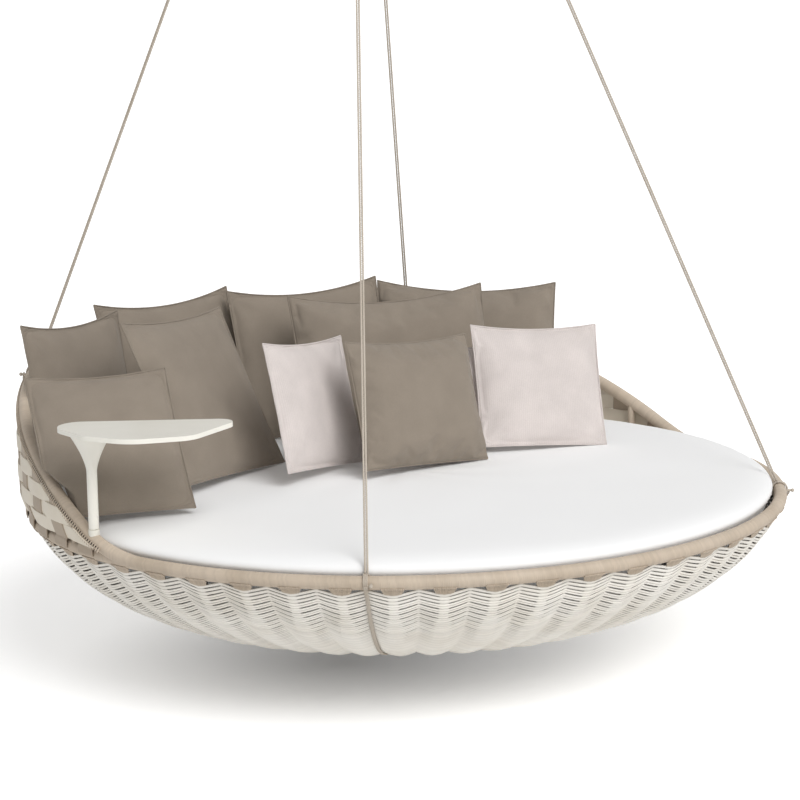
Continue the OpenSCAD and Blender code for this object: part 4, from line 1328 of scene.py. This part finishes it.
@dataclass(frozen=True)
class Cushion:
    """One loose cushion, with the place and size of its CAD solid."""

    name: str
    x: float
    y: float
    z: float
    turn: float
    lean: float
    roll: float
    width: float
    height: float
    thick: float
    sag: float
    finish: Finish
    tuck: float = 0.0
    snug: bool = False
    draw_in: float = 0.045
    side_in: float = 0.022
    start: float = 0.85
    cap: float = 0.011

    @property
    def node(self) -> str:
        """Name of the CAD node that it replaces."""
        return "cushion_" + self.name

    def frame_matrix(self, centre: Sequence[float]) -> Matrix:
        """Give the placement of the cushion in the part's frame."""
        return (
            Matrix.Translation(Vector(centre) + Vector((self.x, self.y, self.z)))
            @ Matrix.Rotation(math.radians(self.turn), 4, "Z")
            @ Matrix.Rotation(math.radians(-self.lean), 4, "X")
            @ Matrix.Rotation(math.radians(-self.roll), 4, "Y")
        )

    def outline(self, u: Array, v: Array) -> tuple[Array, Array]:
        """Give width and height positions on the cover, for u and v from -1 to 1."""
        px = self.width / 2 * u * (1 - self.side_in * (1 - v * v)) + self.tuck * (1 - u) * (1 - v) / 4
        pull = np.where(v > 0, self.draw_in, self.draw_in * 0.35)
        py = self.height / 2 * (v + 1) - self.height / 2 * v * pull * (1 - u * u)
        return px, py - self.sag * (1 - u * u) * ((1 + v) / 2) ** 2

    def cover(self, share: float, n: int) -> tuple[Array, Array]:
        """Give the corners and quads of the closed cover.

        Args:
            share: Share of the full thickness.
            n: Corners along each side.

        Returns:
            Local corners and quads.
        """
        g = np.linspace(-1, 1, n)
        g = 0.6 * g + 0.4 * np.sin(g * math.pi / 2)
        u, v = np.meshgrid(g, g, indexing="ij")
        px, py = self.outline(u, v)
        puff = np.sqrt(np.maximum(0, 1 - np.abs(u) ** 2.6) * np.maximum(0, 1 - np.abs(v) ** 2.6))
        deep = share * self.thick / 2 * puff
        front = np.stack([px, -deep, py], -1).reshape(-1, 3)
        back = np.stack([px, deep, py], -1).reshape(-1, 3)
        index = np.arange(n * n).reshape(n, n)
        inside = np.zeros((n, n), bool)
        inside[1:-1, 1:-1] = True
        other = index.copy()
        other[inside] = n * n + np.arange(inside.sum())
        quads = lambda m, turn: np.stack([m[:-1, :-1], m[1:, :-1], m[1:, 1:], m[:-1, 1:]][::turn], -1).reshape(-1, 4)
        return np.concatenate([front, back[inside.ravel()]]), np.concatenate([quads(index, 1), quads(other, -1)])


@dataclass
class CushionSet:
    """The eleven loose cushions: eight in taupe cloth and three in light striped cloth."""

    form: BedForm
    side: int = 52
    frames: int = 20
    pressure: float = 4.0
    slack: float = 0.03
    piping_r: float = 0.0021

    def cushions(self) -> list[Cushion]:
        """List the cushions with their places."""
        taupe, light = Finish.TAUPE_CLOTH, Finish.STRIPED_CLOTH
        return [
            Cushion("left_front", -0.844, 0.082, 0.072, -23, 41, 0, 0.36, 0.405, 0.104, 0.006, taupe, 0.0, True),
            Cushion("left_back", -0.572, 0.568, 0.0705, 19, 12, -3, 0.42, 0.40, 0.118, 0.016, taupe),
            Cushion("left_inner", -0.366, 0.240, 0.076, 22, 27, -4, 0.47, 0.445, 0.118, 0.008, taupe),
            Cushion("back_left", -0.183, 0.668, 0.0615, -1, 17, 0, 0.44, 0.415, 0.118, 0.020, taupe),
            Cushion("back_centre", 0.178, 0.539, 0.065, -18, 19, 1, 0.44, 0.415, 0.118, 0.020, taupe),
            Cushion("back_right", 0.551, 0.380, 0.0655, -40, 19, -2, 0.495, 0.39, 0.118, 0.020, taupe),
            Cushion("wide", 0.249, 0.288, 0.069, -23, 22, 0, 0.55, 0.415, 0.118, 0.026, taupe),
            Cushion("front_taupe", 0.042, -0.038, 0.0765, -1, 19, -4, 0.40, 0.335, 0.118, 0.006, taupe),
            Cushion("light_left", -0.172, 0.112, 0.081, 20, 15, -6, 0.375, 0.335, 0.104, 0.006, light),
            Cushion("light_right", 0.438, -0.056, 0.070, -21, 22, -4, 0.355, 0.33, 0.104, 0.006, light),
            Cushion("light_rear", 0.190, 0.093, 0.0755, -7, 17, -6, 0.30, 0.272, 0.104, 0.006, light),
        ]

    def rim(self) -> Array:
        """Give the numbers of the corners on the seam."""
        index = np.arange(self.side**2).reshape(self.side, self.side)
        return np.unique(np.concatenate([index[0], index[-1], index[:, 0], index[:, -1]]))

    def puff_up(self, cushion: Cushion, piece: bpy.types.Object) -> None:
        """Fill a slack cover with air by cloth simulation, held at its seam and within a cap.

        Args:
            cushion: The cushion.
            piece: Its slack cover, changed in place.
        """
        scene = bpy.context.scene
        seam = piece.vertex_groups.new(name="seam")
        seam.add([int(k) for k in self.rim()], 1.0, "REPLACE")
        rest = corners_of(piece.data)
        cloth = piece.modifiers.new("cloth", "CLOTH")
        values = {"quality": 5, "mass": 0.2, "use_pressure": True, "uniform_pressure_force": self.pressure,
                  "tension_stiffness": 14, "compression_stiffness": 14, "shear_stiffness": 6, "bending_stiffness": 0.08,
                  "shrink_min": -self.slack, "vertex_group_mass": "seam"}
        for key, value in values.items():
            setattr(cloth.settings, key, value)
        cloth.settings.effector_weights.gravity = 0
        cloth.collision_settings.use_collision = False
        cloth.point_cache.frame_end = self.frames + 2
        for number in range(1, self.frames + 1):
            scene.frame_set(number)
        step = corners_of(piece.evaluated_get(bpy.context.evaluated_depsgraph_get()).data) - rest
        piece.modifiers.remove(cloth)
        scene.frame_set(1)
        size = np.linalg.norm(step, axis=1, keepdims=True)
        step = step * np.minimum(1, cushion.cap / np.maximum(size, 1e-9))
        piece.data.vertices.foreach_set("co", flat(rest + step))
        piece.data.update()
        log.info("%s: simulated, moved by up to %.1f mm", piece.name, 1000 * float(size.max()))

    def build(self) -> None:
        """Make each cushion with its piped seam."""
        for number, cushion in enumerate(self.cushions()):
            self.make(cushion, number)

    def creases(self, cushion: Cushion, local: Array, number: int) -> Array:
        """Add soft folds that run in from the corners and along the seams.

        Args:
            cushion: The cushion.
            local: Corners in its own frame.
            number: Number that seeds the folds.

        Returns:
            Moved corners.
        """
        rng = np.random.default_rng(100 + number)
        x, y, z = local.T
        w, h = cushion.width / 2, cushion.height / 2
        u, v = x / w, (z - h) / h
        shift = np.zeros(len(local))
        for cu in (-1, 1):
            for cv in (-1, 1):
                d = np.hypot((u - cu) * w, (v - cv) * h)
                t = np.arctan2((v - cv) * h * -cv, (u - cu) * w * -cu)
                fold = np.sin(t * rng.uniform(9, 13) + rng.uniform(0, 6)) * np.exp(-((d - 0.07) / 0.055) ** 2)
                shift += fold * rng.uniform(0.0008, 0.0018)
        for edge, along in ((np.abs(u), v * h), (np.abs(v), u * w)):
            wave = np.sin(along * rng.uniform(130, 170) + 2 * np.sin(along * 37 + rng.uniform(0, 6)))
            shift += wave * 0.0008 * np.exp(-((1 - edge) / 0.13) ** 2)
        broad = [np.sin(way * rng.uniform(2, 4) + rng.uniform(0, 6)) for way in (u, v)]
        shift += 0.0022 * broad[0] * broad[1]
        fade = np.clip(np.abs(y) / 0.012, 0, 1)
        out = local.copy()
        out[:, 1] += np.sign(y) * shift * fade
        return out

    def make(self, cushion: Cushion, number: int) -> None:
        """Make one cushion.

        Args:
            cushion: The cushion.
            number: Its number, for the folds.
        """
        place = np.array(cushion.frame_matrix(self.form.centre))
        points, faces = cushion.cover(cushion.start, self.side)
        piece = make_piece(cushion.node + "_cover", points, faces, cushion.finish, "bed")
        face_outwards(piece)
        self.puff_up(cushion, piece)
        mesh = piece.data
        local = self.creases(cushion, corners_of(mesh).astype(float), number)
        self.sharpen(mesh)
        subdivide = piece.modifiers.new("smooth", "SUBSURF")
        subdivide.levels = subdivide.render_levels = 1
        note(mesh, "cloth", local[:, [0, 2, 1]])
        mesh.vertices.foreach_set("co", flat(self.settle(cushion, place, local)))
        mesh.polygons.foreach_set("use_smooth", np.ones(len(mesh.polygons), bool))
        mesh.update()
        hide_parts(cushion.node)
        self.piping(cushion, place)
        log.info("%s: %d corners%s", piece.name, len(mesh.vertices), "")

    def sharpen(self, mesh: bpy.types.Mesh) -> None:
        """Keep the seam sharp when the cover is subdivided."""
        ends = np.empty(len(mesh.edges) * 2, np.int32)
        mesh.edges.foreach_get("vertices", ends)
        seam = np.zeros(len(mesh.vertices), bool)
        seam[self.rim()] = True
        note(mesh, "crease_edge", seam[ends.reshape(-1, 2)].all(1), "EDGE")

    def settle(self, cushion: Cushion, place: Array, local: Array) -> Array:
        """Put a cushion in its place, and press a snug one against the arch, so that it bends over the tube.

        Args:
            cushion: The cushion.
            place: Its placement, 4 by 4.
            local: Its corners in its own frame.

        Returns:
            The corners in the part's frame.
        """
        world = (place[:3, :3] @ local.T + place[:3, 3:]).T
        if not cushion.snug:
            return world
        f, centre = self.form, np.array(self.form.centre)
        x, y, z = (world - centre).T
        r, a = np.hypot(x, y), np.arctan2(x, -y)
        inside = f.arch_radius(a) - f.wound_r - 0.0015
        most = inside + 2.5 * np.maximum(0, z - f.arch_z(a) - 0.030)
        return centre + f.around(np.minimum(r, most), a, z)

    def piping(self, cushion: Cushion, place: Array) -> None:
        """Run a thin piped seam round the cover's edge."""
        g = np.sin(np.linspace(-math.pi / 2, math.pi / 2, 40))[:-1]
        one = np.ones(len(g))
        u = np.concatenate([g, one, -g, -one])
        v = np.concatenate([-one, g, one, -g])
        px, py = cushion.outline(u, v)
        edge = 1 + 0.0008 / cushion.width
        ripple = 0.0004 * np.sin(np.arange(len(u)) * 0.9)
        local = np.stack([px * edge, ripple, py], 1)
        path = self.settle(cushion, place, local)
        points, faces, strand = sweep(path, place[:3, 1], self.piping_r, self.piping_r, 8, True)
        piece = make_piece(cushion.node + "_piping", points, faces, cushion.finish, "bed", cloth=strand)
        log.info("%s: seam", piece.name)


@dataclass
class Mattress:
    """The round mattress: a thick disc of foam in a smooth cover with a soft shoulder."""

    form: BedForm
    radius: float = 0.941
    low: float = 0.098
    crown: float = 0.064
    hoop_r: float = 0.857
    corners_round: int = 320

    def profile(self) -> Array:
        """Give the outline from the middle of the underside to the crown."""
        r, c = self.radius, self.crown
        rough = [(0.0, -self.low), (self.hoop_r - 0.06, -self.low), (self.hoop_r - 0.004, -self.low),
                 (r - 0.077, -0.091), (r - 0.046, -0.060), (r - 0.029, -0.036), (r - 0.017, -0.015), (r - 0.012, 0.0),
                 (r - 0.003, 0.014), (r - 0.001, 0.023), (r - 0.006, 0.032), (r - 0.018, 0.040), (r - 0.036, 0.046),
                 (r - 0.070, c - 0.0125), (r - 0.170, c - 0.008), (r - 0.380, c - 0.0045), (r - 0.600, c - 0.0025),
                 (0.0, c)]
        line = spline([(x, 0, z) for x, z in rough], 0.012)
        return np.stack([np.maximum(line[:, 0], 0), line[:, 2]], 1)

    def build(self) -> None:
        """Revolve the cover with slight unevenness."""
        f = self.form
        outline = self.profile()[1:-1]
        n, m = self.corners_round, len(outline)
        a = 2 * np.pi * np.arange(n) / n
        rr, zz = outline[:, 0][:, None], outline[:, 1][:, None]
        top = np.clip((zz - 0.03) / 0.03, 0, 1)
        waves = 0.0009 * np.sin(5 * a + 9 * rr) * np.sin(7 * rr + 2 * a) + 0.0007 * np.sin(11 * a - 14 * rr)
        edge = np.exp(-((rr - self.radius + 0.02) / 0.02) ** 2) * np.sin(67 * a + 3 * np.sin(9 * a)) * 0.0008
        z = zz + (waves - 0.0012) * top * np.clip(rr / 0.1, 0, 1) + edge * top
        points = f.around(rr, a, z).reshape(-1, 3)
        faces = grid_faces(m, n, False, True)[:, ::-1]
        poles = np.array([[0, 0, -self.low], [0, 0, self.crown]])
        k = 2 * np.arange(n // 2)
        fan = np.stack([k, (k + 1) % n, (k + 2) % n, np.full(n // 2, m * n)], axis=1)
        points = np.concatenate([points, poles])
        to_top = np.array([(m - 1) * n] * 3 + [1])
        faces = np.concatenate([faces, fan, (fan + to_top)[:, ::-1]])
        # Painted shade: the cover darkens down its side and underside, and a little on the shoulder near the ring, as
        # if shaded by it.
        hidden = np.interp(points[:, 2], (-0.012, 0.010, 0.030, 0.046), (1.0, 0.42, 0.20, 0.04))
        cover = f.place(points)
        piece = make_piece("mattress_cover", cover, faces, Finish.MATTRESS, "bed", cloth=points, hidden=hidden)
        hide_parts("mattress")
        log.info("mattress_cover: %d corners", n * m)


# ------------------------------------------------------------------ frame and table


@dataclass
class FrameAndTable:
    """The steel inside the wickerwork and the swing-out table."""

    bevel: float = 0.0018
    post_r: float = 0.0127
    flare: float = 0.041
    flare_h: float = 0.095
    flare_power: float = 1.5
    chamfer: float = 0.0006
    post_sides: int = 72

    def post(self) -> None:
        """Turn the table's hollow post, with its trumpet-shaped head."""
        low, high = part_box("table_post")
        bush_low, bush_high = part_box("table_bush")
        bore = (bush_high[0] - bush_low[0]) / 2 + 0.0001
        height = high[2] - low[2]
        straight = np.linspace(height - 0.002, self.flare_h, 6)
        down = np.concatenate([[height - self.chamfer], straight, self.flare_h * np.linspace(0.97, 0, 30)])
        flare = self.post_r + self.flare * np.maximum(0, 1 - down / self.flare_h) ** self.flare_power
        flare[0] -= self.chamfer
        rings = [(bore, low[2]), *zip(flare, high[2] - down), (bore, high[2])]
        r, z = np.array(rings).T
        a = np.linspace(0, 2 * np.pi, self.post_sides, endpoint=False)
        x, y = (low[0] + high[0]) / 2, (low[1] + high[1]) / 2
        points = np.stack([x + np.outer(r, np.cos(a)), y + np.outer(r, np.sin(a)), np.outer(z, np.ones(len(a)))], -1)
        faces = grid_faces(len(r), len(a), True, True)
        piece = make_piece("table_post_turned", points.reshape(-1, 3), faces, Finish.TABLE, "table")
        face_outwards(piece)
        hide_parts("table_post")
        log.info("table_post_turned: %.0f mm tall", 1000 * height)

    def build(self) -> None:
        """Dress the solids, and round the table's edges."""
        dress(Finish.FRAME, "lower_ring", "back_arch", "arch_struts", "bowl_ribs", "base_hub", "deck_hoop")
        dress(Finish.WEBBING, "deck_webbing")
        dress(Finish.TABLE, "table_top")
        self.post()
        dress(Finish.SPIGOT, "table_spigot")
        dress(Finish.BUSH, "table_bush")
        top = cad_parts["table_top"]
        bevel = top.modifiers.new("edge", "BEVEL")
        bevel.width, bevel.segments, bevel.limit_method = self.bevel, 3, "ANGLE"
        bevel.angle_limit = math.radians(40)
        bevel.harden_normals = False


# ------------------------------------------------------------------ studio


@dataclass
class Studio:
    """Camera, lamps, pale floor and backdrop."""

    form: BedForm
    eye: tuple[float, float, float] = (-5.5014, -6.3369, 1.8302)
    yaw: float = -40.875
    pitch: float = 10.681
    roll: float = -1.22
    lens: float = 149.3
    fill: float = 0.42
    lamps: tuple[tuple[str, tuple[float, float, float], float, float], ...] = (
        ("key_lamp", (-0.12, -1.0, 1.0), 1.88, 40), ("low_fill_lamp", (-0.35, -1.0, 0.14), 0.32, 60))
    floor_size: float = 60.0
    floor_drop: float = 0.41
    shadow: tuple[float, float] = (-0.22, 0.02)

    def camera(self) -> None:
        """Place the camera at the photograph's viewing angle."""
        yaw, pitch, roll = (math.radians(v) for v in (self.yaw, self.pitch, self.roll))
        forward = Vector((-math.sin(yaw) * math.cos(pitch), math.cos(yaw) * math.cos(pitch), -math.sin(pitch)))
        right = forward.cross(Vector((0, 0, 1))).normalized()
        up = right.cross(forward)
        across = math.cos(roll) * right + math.sin(roll) * up
        upright = -math.sin(roll) * right + math.cos(roll) * up
        data = bpy.data.cameras.new("photo_camera")
        data.sensor_width, data.lens = 36.0, self.lens
        data.clip_start, data.clip_end = 0.1, 200.0
        camera = link("photo_camera", data)
        basis = Matrix((across, upright, -forward)).transposed().to_4x4()
        camera.matrix_world = Matrix.Translation(Vector(self.form.centre) + Vector(self.eye)) @ basis
        bpy.context.scene.camera = camera

    def lamp(self, name: str, toward: Sequence[float], strength: float, angle: float) -> None:
        """Add one lamp like a wide, far window.

        Args:
            name: Name of the lamp.
            toward: Direction from the bed to the lamp.
            strength: Its strength in watts per square metre.
            angle: How wide it looks from the bed, in degrees.
        """
        data = bpy.data.lights.new(name, "SUN")
        data.energy, data.angle = strength, math.radians(angle)
        lamp = link(name, data)
        lamp.location = Vector(self.form.centre) + Vector(toward).normalized() * 6
        lamp.rotation_mode = "QUATERNION"
        lamp.rotation_quaternion = (-Vector(toward)).to_track_quat("-Z", "Y")

    def world(self) -> None:
        """Light the scene evenly and show white behind it."""
        world = bpy.data.worlds.new("studio_white")
        bpy.context.scene.world = world
        world.use_nodes = True
        tree = world.node_tree
        tree.nodes.clear()
        rays = tree.nodes.new("ShaderNodeLightPath").outputs
        mix = tree.nodes.new("ShaderNodeMixShader")
        seen = rays["Is Camera Ray"]
        for name in ("Is Glossy Ray", "Is Transmission Ray"):
            either = tree.nodes.new("ShaderNodeMath")
            either.operation = "MAXIMUM"
            tree.links.new(seen, either.inputs[0])
            tree.links.new(rays[name], either.inputs[1])
            seen = either.outputs[0]
        tree.links.new(seen, mix.inputs[0])
        for number, strength in ((1, self.fill), (2, 1.0)):
            light = tree.nodes.new("ShaderNodeBackground")
            light.inputs["Color"].default_value = (1, 1, 1, 1)
            light.inputs["Strength"].default_value = strength
            tree.links.new(light.outputs[0], mix.inputs[number])
        tree.links.new(mix.outputs[0], tree.nodes.new("ShaderNodeOutputWorld").inputs["Surface"])

    def floor(self) -> None:
        """Lay a pale floor under the bed."""
        z, size = self.form.centre[2] - self.floor_drop, self.floor_size
        mesh = bpy.data.meshes.new("studio_floor")
        mesh.from_pydata([(-size, -size, z), (size, -size, z), (size, size, z), (-size, size, z)], [], [(0, 1, 2, 3)])
        floor = link("studio_floor", mesh)
        middle = (self.form.centre[0] + self.shadow[0], self.form.centre[1] + self.shadow[1], z)
        floor.data.materials.append(FloorFinish("studio_floor_paint", (0.975, 0.975, 0.975), middle).build())

    def build(self) -> None:
        """Light the set."""
        bpy.context.scene.view_settings.view_transform = "Standard"
        self.world()
        self.floor()
        for lamp in self.lamps:
            self.lamp(*lamp)


def main() -> None:
    """Build the whole bed, piece by piece."""
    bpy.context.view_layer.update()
    low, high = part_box("lower_ring")
    form = BedForm(tuple((low[k] + high[k]) / 2 for k in range(3)))
    studio = Studio(form)
    studio.camera()
    builders = (WovenBowl(form), WoundTubes(form), BackWall(form), Suspension(form), Mattress(form), CushionSet(form),
                FrameAndTable(), studio)
    for builder in builders:
        builder.build()
        log.info("%s done", type(builder).__name__)


if __name__ == "__main__":
    main()
